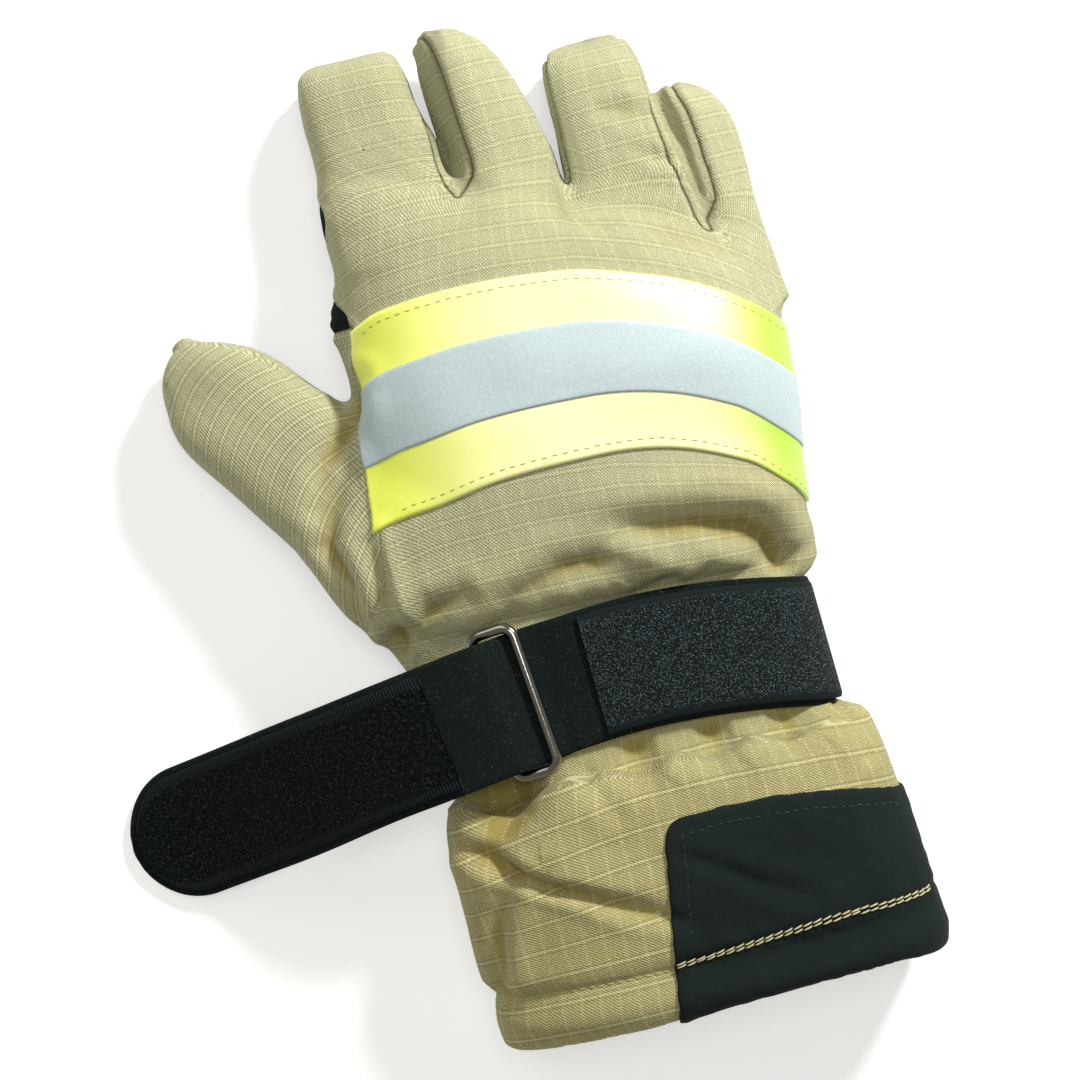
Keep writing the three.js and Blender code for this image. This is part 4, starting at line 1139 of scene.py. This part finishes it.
def weave_of(p):
    """The cloth's own coordinates on the hand and cuff: u across and v along, in millimetres."""
    x, y, z = p.T
    s = station(x, y)
    middle = body_bottom(s) + WIDEST * (body_top(s) - body_bottom(s))
    u = body_arc(np.arctan2(x, z - middle))
    bent = smooth((y + 60) / 60)  # the rows follow the tape's curve on the back of the hand
    v = y + bent * (tape_front(-1.0) - tape_front(np.clip(x, -60, 60)))
    on_cuff = smooth((-70 - y) / 12) * (0.3 + 0.7 * smooth((y - HEM_Y - 10) / 45))
    v = v + on_cuff * (0.00175 * x * x - 0.03 * x)
    total, weight_u, weight_v = np.zeros(len(p)), np.zeros(len(p)), np.zeros(len(p))
    for tube in fingers.values():
        a, along, b = tube.local(x, y, z)
        share = smooth((along + 10) / 22) * smooth((tube.wide(along) + 4 - np.abs(a)) / 4)
        arc = np.arctan2(a, b + 0.5 * tube.high(along)) * 16
        x0 = tube.origin[0]
        v0 = tube.origin[1] + tape_front(-1.0) - tape_front(x0)
        total += share
        weight_u += share * (body_arc(math.atan2(x0, 24)) + arc)
        weight_v += share * (v0 + along)
    total = np.maximum(total, 1e-9)
    part = np.clip(total, 0, 1)
    u, v = (own * (1 - part) + weight / total * part for own, weight in ((u, weight_u), (v, weight_v)))
    return np.stack([u, v], 1)


def thumb_weave(p):
    a, along, b = thumb.local(*p.T)
    return np.stack([np.arctan2(a, b + 8) * 20, along + 0.02 * a * a], 1)


def cut_out(faces):
    """Renumbers the faces of one piece from 0. Returns the old numbers and the new faces."""
    used, new = np.unique(faces, return_inverse=True)
    return used, new.reshape(faces.shape)


def rim_edges(faces):
    """Directed edges that only one face has."""
    edges = face_edges(faces)
    code = edges[:, 0] * (faces.max() + 1) + edges[:, 1]
    back = edges[:, 1] * (faces.max() + 1) + edges[:, 0]
    return edges[~np.isin(code, back)]


def skirted(points, norms, faces, depth, extra):
    """Turns the open edges of a piece inwards by depth, so that it has a thickness there."""
    rim = rim_edges(faces)
    used, local = np.unique(rim, return_inverse=True)
    local = local.reshape(rim.shape)
    start = len(points)
    lower = points[used] - norms[used] * depth
    walls = np.stack([rim[:, 1], rim[:, 0], start + local[:, 0], start + local[:, 1]], 1)
    extra = [np.concatenate([values, values[used]]) for values in extra]
    return np.concatenate([points, lower]), np.concatenate([faces, walls]), extra


seam_away = np.where(inward, SEAM_REACH, np.minimum(from_seam, SEAM_REACH))
for number, name in enumerate(PIECES):
    used, faces = cut_out(quads[labels == number])
    flat = WEAVE_STRAIGHT * smooth((outwards[used, 2] - 0.3) / 0.3)[:, None] * [1, 1, 0]
    laid = verts[used] + flat * (skin[used] - verts[used])
    coords = (thumb_weave if number == THUMB_BACK else weave_of)(laid)
    extra = [coords, seam_away[used], painted_fold_shade[used]]
    points, faces, extra = skirted(skin[used], skin_normals[used], faces, TURNED_EDGE, extra)
    uv, away, deep = extra
    if number in (PALM, THUMB_PALM):
        slot, material = "leather", leather
    else:
        slot, material = "cloth", cloths[{THUMB_BACK: "thumb", CUFF: "cuff"}.get(number, "hand")]
    piece = make_mesh(name + "_skin", points, faces, material, uv=uv, away=away, deep=deep)
    finish_piece(piece, name)


def layer(name, mask, thickness, material, node, extra_lift, rounds):
    """A layer that lies on part of the skin: a copy of those faces, lifted, with its edges turned down."""
    eased, _ = ease_seams(verts, quads, mask.astype(int), skin_distance, rounds)
    used, faces = cut_out(quads[mask])
    norms = outward(eased, quads)
    lining_fold = -fold_lift(eased, -norms) * smooth((eased[:, 1] - HEM_Y - 4) / 8)
    rise = np.where(inward, lining_fold, fold_lift(eased, norms))
    points = (eased + norms * rise[:, None])[used]
    rim = np.zeros(len(used), bool)
    rim[np.unique(rim_edges(faces))] = True
    swell = thickness * (1 - 0.35 * bell(spread(points, faces, rim, 4))) + extra_lift(points)
    norms = norms[used]
    points = points + norms * swell[:, None]
    points, faces, (uv,) = skirted(points, norms, faces, thickness + 0.5, [weave_of(points)])
    finish_piece(make_mesh(name, points, faces, material, uv=uv), node)


cx, cy, cz = verts[quads].mean(1).T
outer_face = body_distance(cx, cy, cz) > -WALL / 2


def body_point(angle, y):
    """A point on the outline of the hand's section at y, by its angle from the right round the top."""
    c, rise = np.cos(angle), np.sin(angle)
    x = np.zeros_like(angle)
    for _ in range(6):
        s = station(x, y(x))
        low, top = body_bottom(s), body_top(s)
        middle = low + WIDEST * (top - low)
        wide = np.where(c < 0, body_left(s), body_right(s))
        x = 0.5 * x + 0.5 * np.sign(c) * np.abs(c) ** (2 / TOP_POWER) * wide
    upper, lower = np.abs(rise) ** (2 / TOP_POWER) * (top - middle), 0.9 * rise * (middle - low)
    return np.stack([x, y(x), middle + np.where(rise > 0, upper, lower)], 1)


def lifted(p, rise, reach=0.25):
    """Points on the solid moved out by rise from the finished skin, and the normals there."""
    n = unit(gradient(solid_distance, p, reach))
    return p + n * (fold_lift(p, n) + rise)[:, None], n


def ribbon(name, from_share, to_share, rows, rise, thickness, material, slot, node):
    """A strip of tape across the back of the hand, between two shares of the tape's width."""
    shares = np.linspace(from_share, to_share, rows)
    angle = np.linspace(math.pi * 1.02, -0.5, 500)
    base = []
    for share in shares:
        path = body_point(angle, lambda x: tape_front(x) - share * tape_width(x))
        keep = (path[:, 0] > thumb_seam_x(path[:, 1]) + 0.6) & (path[:, 2] > TAPE_END_Z)
        base.append(resampled(path[keep], TAPE_COLUMNS))
    edge = np.zeros((rows, TAPE_COLUMNS))
    edge[0] = edge[-1] = 1
    edge[:, 0] = edge[:, -1] = 1
    base = settle(solid_distance, np.concatenate(base), 5)
    top, n = lifted(base, rise + thickness - 0.3 * thickness * edge.ravel(), 1.2)
    index = np.arange(edge.size).reshape(edge.shape)
    grid = np.stack([index[:-1, :-1], index[1:, :-1], index[1:, 1:], index[:-1, 1:]], -1).reshape(-1, 4)
    u, v = np.meshgrid(np.linspace(0, 1, TAPE_COLUMNS), shares)
    extra = [np.stack([u.ravel(), v.ravel()], 1), u.ravel()]
    points, faces, (uv, along) = skirted(top, n, grid, thickness + 0.3, extra)
    finish_piece(make_mesh(name, points, faces, material, uv=uv, along=along), node)


ribbon("reflective_tape", 0, 1, 56, TAPE_RISE, TAPE_THICKNESS, lime, "lime_tape", "tape_lime")
shares = SILVER_FROM, SILVER_TO
ribbon("silver_stripe", *shares, 26, SILVER_RISE, SILVER_THICKNESS, silver, "silver_tape", "tape_silver")

patch_top = HEM_Y + CUFF_PATCH_LENGTH
patch_left = CUFF_PATCH_LEFT * CUFF_WIDTH


def patch_bow(x):
    """The patch's front edge falls back on both sides."""
    return 0.0033 * (x - 10) ** 2


def patch_inside(x, y):
    """Above 0 inside the cuff patch's outline, seen from above: the distance to its edge."""
    slope = math.hypot(1, CUFF_PATCH_LEAN)
    left = (x - patch_left + 0.8 + CUFF_PATCH_LEAN * (patch_top - y)) / slope
    front = patch_top + 3.3 - patch_bow(x) - y
    r = CUFF_PATCH_CORNER
    corner = r - np.hypot(np.minimum(left - r, 0), np.minimum(front - r, 0))
    return np.where((left < r) & (front < r), corner, np.minimum(left, front))


patch_faces = (labels == CUFF) & (patch_inside(cx, cy) > 0) & (cz > CUFF_PATCH_LOWEST)
patch_faces &= outer_face | (cy < HEM_Y + HEM_FOLD)


def patch_sewing_y(x):
    return HEM_LINE_Y + 1.5 + 3.2 * smooth((x + 20) / 60) - 0.8 * smooth((x - 35) / 20)


def patch_relief(points):
    """The pressed line where the patch is sewn through the hem."""
    line = patch_sewing_y(points[:, 0])
    return -0.5 * bell((points[:, 1] - line) / 1.2) + 0.12 * ripple(points, 5)


layer("cuff_patch_suede", patch_faces, PATCH_SUEDE, suede, "cuff_patch", patch_relief, rounds=6)


# The strap, its ring and its tab


def wrist_outline(angle, away):
    """A point on the gathered wrist's section, at a distance outside it."""
    c, s = np.cos(angle), np.sin(angle)
    middle = WRIST_LIFT + WIDEST * (WRIST_HEIGHT - WRIST_LIFT)
    wide = np.where(c < 0, WRIST_LEFT, WRIST_RIGHT) + away
    up = (WRIST_HEIGHT - middle) + away
    down = (middle - WRIST_LIFT) + away
    power = np.where(s > 0, 2 / TOP_POWER, 2 / FOOT_POWER)
    x = np.sign(c) * np.abs(c) ** power * wide
    z = np.where(
        s > 0, middle + np.abs(s) ** power * up,
        np.maximum(middle - np.abs(s) ** power * down * PRESS, WRIST_LIFT - away),
    )
    return x, z


def wrist_top(x):
    angle = np.linspace(0, np.pi, 2000)
    xs, zs = wrist_outline(angle, 0.0)
    return float(np.interp(x, xs[::-1], zs[::-1]))


def bow(x):
    """The strap's middle line from above: curved over the wrist, then straight, with a slight bend."""
    share, straight = (STRAP_BOW * (at / (0.5 * WRIST_WIDTH)) ** 2 for at in (x, STRAP_STRAIGHT))
    straight -= STRAIGHT_SLOPE * (x + STRAP_STRAIGHT)
    bend = 1.3 * smooth((-18 - x) / 35) * (1 - smooth((-70 - x) / 45)) - 0.3 * smooth((-105 - x) / 30)
    return bend - STRAP_CENTRE - np.where(x > -STRAP_STRAIGHT, share, straight)


wire = RING_WIRE / 2
ring_length = STRAP_WIDTH + 2 * (RING_PLAY + RING_WIRE)
bar_span = RING_WIDTH - RING_WIRE
left_rest, right_rest = (
    wrist_top(RING_X + side * bar_span / 2 + STRAIGHT_SLOPE * ring_length / 2) for side in (-1, 1)
)
left_bar_z = left_rest + TAB_THICKNESS + 2 * LAYER_GAP + wire
right_bar_z = right_rest + STRAP_THICKNESS + 4 * LAYER_GAP + wire
ring_tilt = math.asin((left_bar_z - right_bar_z) / bar_span)
left_bar_x, right_bar_x = (RING_X + side * bar_span / 2 * math.cos(ring_tilt) for side in (-1, 1))
deck_z = left_bar_z + wire + 2 * LAYER_GAP + TAB_THICKNESS


def even_line(points, count):
    """A smooth line through points, with evenly spaced steps."""
    points = np.array(points, float)
    ends = 2 * points[0] - points[1], 2 * points[-1] - points[-2]
    p = np.vstack([ends[0], points, ends[1]])
    out = []
    for i in range(1, len(p) - 2):
        t = np.linspace(0, 1, 24, endpoint=False)[:, None]
        a, b, c, d = p[i - 1 : i + 3]
        square, cube = 2 * a - 5 * b + 4 * c - d, 3 * b - a - 3 * c + d
        out.append(0.5 * (2 * b + (c - a) * t + square * t**2 + cube * t**3))
    return resampled(np.vstack([*out, p[-2:-1]]), count)


def strap_line():
    """The strap's underside in the x-z plane, from its free tip through the ring to its sewn end."""
    points = [(RING_X - reach * STRAP_FREE, max(height * deck_z, 0.2)) for reach, height in DRAPE]
    points.append((left_bar_x, deck_z))
    under = wrist_top(right_bar_x) + 2 * LAYER_GAP
    points.append((RING_X - DIP_SHARE * RING_WIDTH, under + DIP_HEIGHT * (deck_z - under)))
    for angle in np.linspace(np.pi, SEWN_END, 41)[:-1]:
        x, z = wrist_outline(angle, 2 * LAYER_GAP)
        if x > right_bar_x - RING_WIRE or angle < 0:
            points.append((float(x), float(z)))
    return even_line(points, 420)


def strap_lean(line):
    """How far the strap's cuts across it lean with its straight part: 1 there, and 0 over the wrist."""
    share = 1 - np.clip((line[:, 0] + STRAP_STRAIGHT) / LEAN_FADE, 0, 1)
    return np.where((line[:, 1] < WRIST_HEIGHT / 2) & (line[:, 0] > 0), 0, share)


def band(line, lean, width, low, high, tip_x):
    """A strap along a line in the x-z plane. Returns points, faces, and every point's place on the strap."""
    along = unit(np.gradient(line, axis=0))
    out = np.stack([-along[:, 1], along[:, 0]], 1)
    half = np.full(len(line), width / 2) * (1 + TIP_WIDER * smooth((-75 - line[:, 0]) / 35))
    if tip_x is not None:
        from_tip = np.maximum(line[:, 0] - tip_x, 0.02)
        short = from_tip < half
        half[short] = np.sqrt(half[short] ** 2 - (half[short] - from_tip[short]) ** 2)
    even = np.linspace(-1, 1, BAND_COLUMNS)
    share = 0.6 * np.sin(even * np.pi / 2) + 0.4 * even
    profile = [(s, 1) for s in share] + [(1, 0.5)] + [(s, 0) for s in share[::-1]] + [(-1, 0.5)]
    rings = []
    for s, level in profile:
        pull = BAND_EDGE * bell((1 - abs(s)) * width / 2 / BAND_EDGE)
        q = line + out * (low + (high - low) * level + 0.7 * pull * (1 - 2 * level))
        across = s * half + 0.25 * s * (level == 0.5)
        x = q[:, 0] - across * STRAIGHT_SLOPE * lean
        rings.append(np.stack([x, bow(line[:, 0]) + across, q[:, 1]], 1))
    points = np.stack(rings, 1)
    n, m = points.shape[:2]
    index = np.arange(n * m).reshape(n, m)
    caps = []
    for row in (index[0], index[-1][::-1]):
        for k in range(m // 2 - 1):
            caps.append((row[(k + 1) % m], row[k], row[-k - 1], row[-k - 2]))
    uv = np.stack([np.repeat(length_along(line), m), np.tile([s * width / 2 for s, _ in profile], n)], 1)
    return points.reshape(-1, 3), np.vstack([ring_faces(index), caps]), uv


def strap_piece(name, line, lean, look, node, width, low, high, margin=None, tip_x=None):
    points, faces, uv = band(line, lean, width, low, high, tip_x)
    side = width / 2 - np.abs(uv[:, 1])
    field = np.ones(len(points)) if margin is None else smooth((side - margin) / 0.6 + 0.5)
    slot, material = look
    finish_piece(make_mesh(name, points, faces, material, uv=uv, field=field), node)


line = strap_line()
lean = strap_lean(line)
tip_x = RING_X - STRAP_FREE
strap_look = "suede", strap_suede
place = line, lean, strap_look, "wrist_strap"
strap_piece("strap_suede", *place, STRAP_WIDTH, 0, STRAP_THICKNESS, tip_x=tip_x)

patch_low = STRAP_THICKNESS + LAYER_GAP * 0.3
top_end = int(np.argmax(line[:, 0] >= WRIST_RIGHT - 0.5)) + 8
rows = (np.arange(len(line)) <= top_end) & (line[:, 0] > WRIST_RIGHT - HOOK_LENGTH)
place = line[rows], lean[rows] + 0.3, ("hook", hook), "hook_patch"
strap_piece("hook_tape_patch", *place, HOOK_WIDTH, patch_low, patch_low + HOOK_THICKNESS, HOOK_MARGIN)

pile_from = tip_x + PATCH_MARGIN
pile_width, pile_high = STRAP_WIDTH - 2 * PATCH_MARGIN, patch_low + PILE_THICKNESS
rows = (line[:, 0] > pile_from) & (line[:, 0] < pile_from + PILE_LENGTH)
place = line[rows], lean[rows], ("pile", pile), "pile_patch"
strap_piece("pile_tape_patch", *place, pile_width, patch_low, pile_high, PILE_MARGIN, pile_from)


def ring_piece():
    """The rectangular ring of round wire, tilted over the strap and turned across it."""
    a, b, r = (RING_WIDTH - RING_WIRE) / 2, (ring_length - RING_WIRE) / 2, RING_CORNER - wire
    path, out = [], []
    corners = [(a - r, b - r, 0), (r - a, b - r, 90), (r - a, r - b, 180), (a - r, r - b, 270)]
    for middle_x, middle_y, turn in corners:
        for angle in np.radians(np.linspace(turn, turn + 90, 13)):
            c, s = math.cos(angle), math.sin(angle)
            path.append((middle_x + r * c, middle_y + r * s, 0))
            out.append((c, s, 0))
    path, out = np.array(path)[:, None], np.array(out)[:, None]
    t = np.linspace(0, 2 * np.pi, RING_SIDES, endpoint=False)[:, None]
    points = (path + wire * (np.cos(t) * out + np.sin(t) * UP)).reshape(-1, 3)
    c, s = math.cos(ring_tilt), math.sin(ring_tilt)
    points = points @ np.array([[c, 0, s], [0, 1, 0], [-s, 0, c]]).T
    turn = math.atan(RING_SLOPE)
    c, s = math.cos(turn), math.sin(turn)
    points = points @ np.array([[c, -s, 0], [s, c, 0], [0, 0, 1]]).T
    points += [RING_X, float(bow(np.array(RING_X))), (left_bar_z + right_bar_z) / 2]
    index = np.arange(len(points)).reshape(-1, RING_SIDES)
    faces = ring_faces(np.vstack([index, index[:1]]))
    finish_piece(make_mesh("ring_wire", points, faces, steel), "buckle_ring")


ring_piece()


def tab_piece():
    """The tab comes out of the wrist's side, goes round the ring's left bar and back over itself."""
    reach = wire + LAYER_GAP
    points = []
    for angle in np.linspace(TAB_START, np.pi / 2, 16):
        x, z = wrist_outline(angle, LAYER_GAP + TAB_THICKNESS)
        if x < left_bar_x - TAB_TURN:
            points.append((float(x), float(z)))
    for angle in np.linspace(-np.pi / 2, np.pi / 2, 9):
        points.append((left_bar_x + math.cos(angle) * reach, left_bar_z + math.sin(angle) * reach))
    points.append((left_bar_x - TAB_TAIL, left_bar_z + reach - TAB_DROP))
    line = even_line(points, 90)
    lean = np.clip((line[:, 0] - left_bar_x + TAB_TURN) / TAB_TURN, 0, 1)
    lean[np.argmax(line[:, 0]) :] = 1
    width = ring_length - 2 * RING_CORNER
    strap_piece("ring_tab_suede", line, lean, strap_look, "ring_tab", width, -TAB_THICKNESS, 0)


tab_piece()


# Stitches


def stitches(name, centres, alongs, ups, length, radius, material):
    """One joined mesh of short threads, each an arched sausage."""
    t = np.linspace(-1, 1, THREAD_RINGS)
    thickness = radius * np.sqrt(np.maximum(1 - np.abs(t) ** 4, 0.04))
    turn = np.linspace(0, 2 * np.pi, THREAD_SIDES, endpoint=False)[:, None]
    around = np.cos(turn) * np.cross(ups, alongs)[:, None] + np.sin(turn) * ups[:, None]
    rings = []
    for step, thick in zip(t, thickness):
        mid = centres + alongs * (step / 2 * length) + ups * (radius * (0.6 - 1.5 * step**4))
        rings.append(mid[:, None] + thick * around)
    points = np.stack(rings, 1)
    index = np.arange(points[..., 0].size).reshape(points.shape[:3])
    faces = [ring_faces(index)[:, [0, 3, 2, 1]]]
    for row in (index[:, 0][:, ::-1], index[:, -1]):
        faces += [row[:, [0, 1, 2, 3]], row[:, [0, 3, 4, 5]]]
    finish_piece(make_mesh(name, points.reshape(-1, 3), np.vstack(faces), material))


def resting(x, y, rise):
    """Places out by rise from the upper side of the finished skin, and the normals there."""
    high = np.full(len(x), 60.0)
    low = np.full(len(x), LOWEST_STITCH - 1)
    for _ in range(22):
        mid = (high + low) / 2
        inside = solid_distance(x, y, mid) < 0
        low, high = np.where(inside, mid, low), np.where(inside, high, mid)
    return lifted(np.stack([x, y, high], 1), rise)


def walk(x, y, pitch):
    """Evenly spaced places along a plan line, with the ground it covers measured on the skin."""
    length = length_along(resting(x, y, 0)[0])
    at = np.arange(pitch / 2, length[-1], pitch)
    return np.interp(at, length, x), np.interp(at, length, y)


def sew(name, x, y, sewing, material, slot="cloth", jitter=JITTER, twist=0.0):
    """A row of stitches along a plan line. Places that aren't on the glove get none."""
    pitch, length, radius, rise = sewing
    x, y = walk(x, y, pitch)
    on_top = solid_distance(x, y, np.full(len(x), LOWEST_STITCH)) < 0
    p, n = resting(x[on_top], y[on_top], rise)
    along = np.gradient(p, axis=0)
    along = unit(along - n * (along * n).sum(1)[:, None])
    side = np.cross(n, along)
    p = p + rng.normal(0, jitter, (len(p), 1)) * side
    along = along * math.cos(twist) + side * math.sin(twist)
    stitches(name, p, along, n, length, radius, material)


xs = np.linspace(-56, 56, 200)
ys = tape_front(xs) - STITCH_INSET
sew("tape_stitches_front", xs, ys, TAPE_SEWING, olive_thread, "lime_tape")
ys = tape_front(xs) - tape_width(xs) + STITCH_INSET
sew("tape_stitches_back", xs, ys, TAPE_SEWING, olive_thread, "lime_tape")
xs = np.linspace(-58, patch_left - 8, 60)
sew("hem_stitches", xs, np.full(60, HEM_LINE_Y), HEM_SEWING, olive_thread)
xs = np.linspace(patch_left - 5.5, 60, 90)
thread = cream_thread, "suede", COARSE_JITTER, PATCH_TWIST
for number, shift in ((1, -0.4), (2, 0.4)):
    sew(f"patch_stitches_{number}", xs, patch_sewing_y(xs) + shift, PATCH_SEWING, *thread)
ys = np.linspace(patch_top - 1, HEM_Y + 22, 50)
xs = patch_left + 4.2 - CUFF_PATCH_LEAN * (patch_top - ys)
sew("patch_edge_stitches_left", xs, ys, PATCH_EDGE_SEWING, black_thread, "suede", COARSE_JITTER)
xs = np.linspace(patch_left + 5, 58, 70)
ys = patch_top - 1.2 - patch_bow(xs)
sew("patch_edge_stitches_front", xs, ys, PATCH_EDGE_SEWING, black_thread, "suede", COARSE_JITTER)

# Floor, camera and light
FLOOR = 3000.0
IMAGE_SIZE = 1080
CAMERA_HEIGHT = 620.0
CAMERA_OVER = (-21.2, -29.6)
CAMERA_ROLL = 13.0
PIXELS_PER_UNIT_SLOPE = 2138.0
LIGHTS_AIM = (-0.02, -0.03, 0.02)
# Columns: name, place and size in metres, power in watts, colour
LIGHTS = [
    ("key", (0.65, 0.62, 0.63), 0.16, 14.2, (1.0, 0.985, 0.94)),
    ("overhead", (0.03, 0.13, 1.25), 0.5, 4.2, (1.0, 1.0, 1.0)),
    ("fill", (-0.5, 0.75, 0.8), 0.8, 1.9, (1.0, 1.0, 0.92)),
]
SKY_COLOUR, SKY_STRENGTH = (1, 0.94, 0.78, 1), 0.19

sh = Shader("floor", roughness=0.9, Specular_IOR_Level=0.0, Emission_Strength=0.5)
sh.bsdf.inputs["Emission Color"].default_value = (1, 1, 1, 1)
sh.colour((0.7, 0.7, 0.7))
corners = [(x * FLOOR, y * FLOOR, 0) for x, y in ((-1, -1), (1, -1), (1, 1), (-1, 1))]
make_mesh("floor", corners, [(0, 1, 2, 3)], sh.material)

camera_data = bpy.data.cameras.new("camera")
camera_data.sensor_width = 36
camera_data.lens = camera_data.sensor_width * PIXELS_PER_UNIT_SLOPE / IMAGE_SIZE
camera_data.clip_end = 10
camera = bpy.data.objects.new("camera", camera_data)
bpy.context.scene.collection.objects.link(camera)
camera.location = Vector((*CAMERA_OVER, CAMERA_HEIGHT)) * MM
camera.rotation_euler = (0, 0, -math.radians(CAMERA_ROLL))
bpy.context.scene.camera = camera

for name, place, size, power, colour in LIGHTS:
    data = bpy.data.lights.new(name, "AREA")
    data.shape = "DISK"
    data.size, data.energy, data.color = size, power, colour
    light = bpy.data.objects.new(name, data)
    bpy.context.scene.collection.objects.link(light)
    light.location = place
    light.rotation_mode = "QUATERNION"
    light.rotation_quaternion = (Vector(LIGHTS_AIM) - Vector(place)).to_track_quat("-Z", "Y")

world = bpy.data.worlds.new("studio")
world.use_nodes = True
background = world.node_tree.nodes["Background"]
background.inputs["Color"].default_value = SKY_COLOUR
background.inputs["Strength"].default_value = SKY_STRENGTH
bpy.context.scene.world = world
bpy.context.scene.view_settings.view_transform = "Standard"
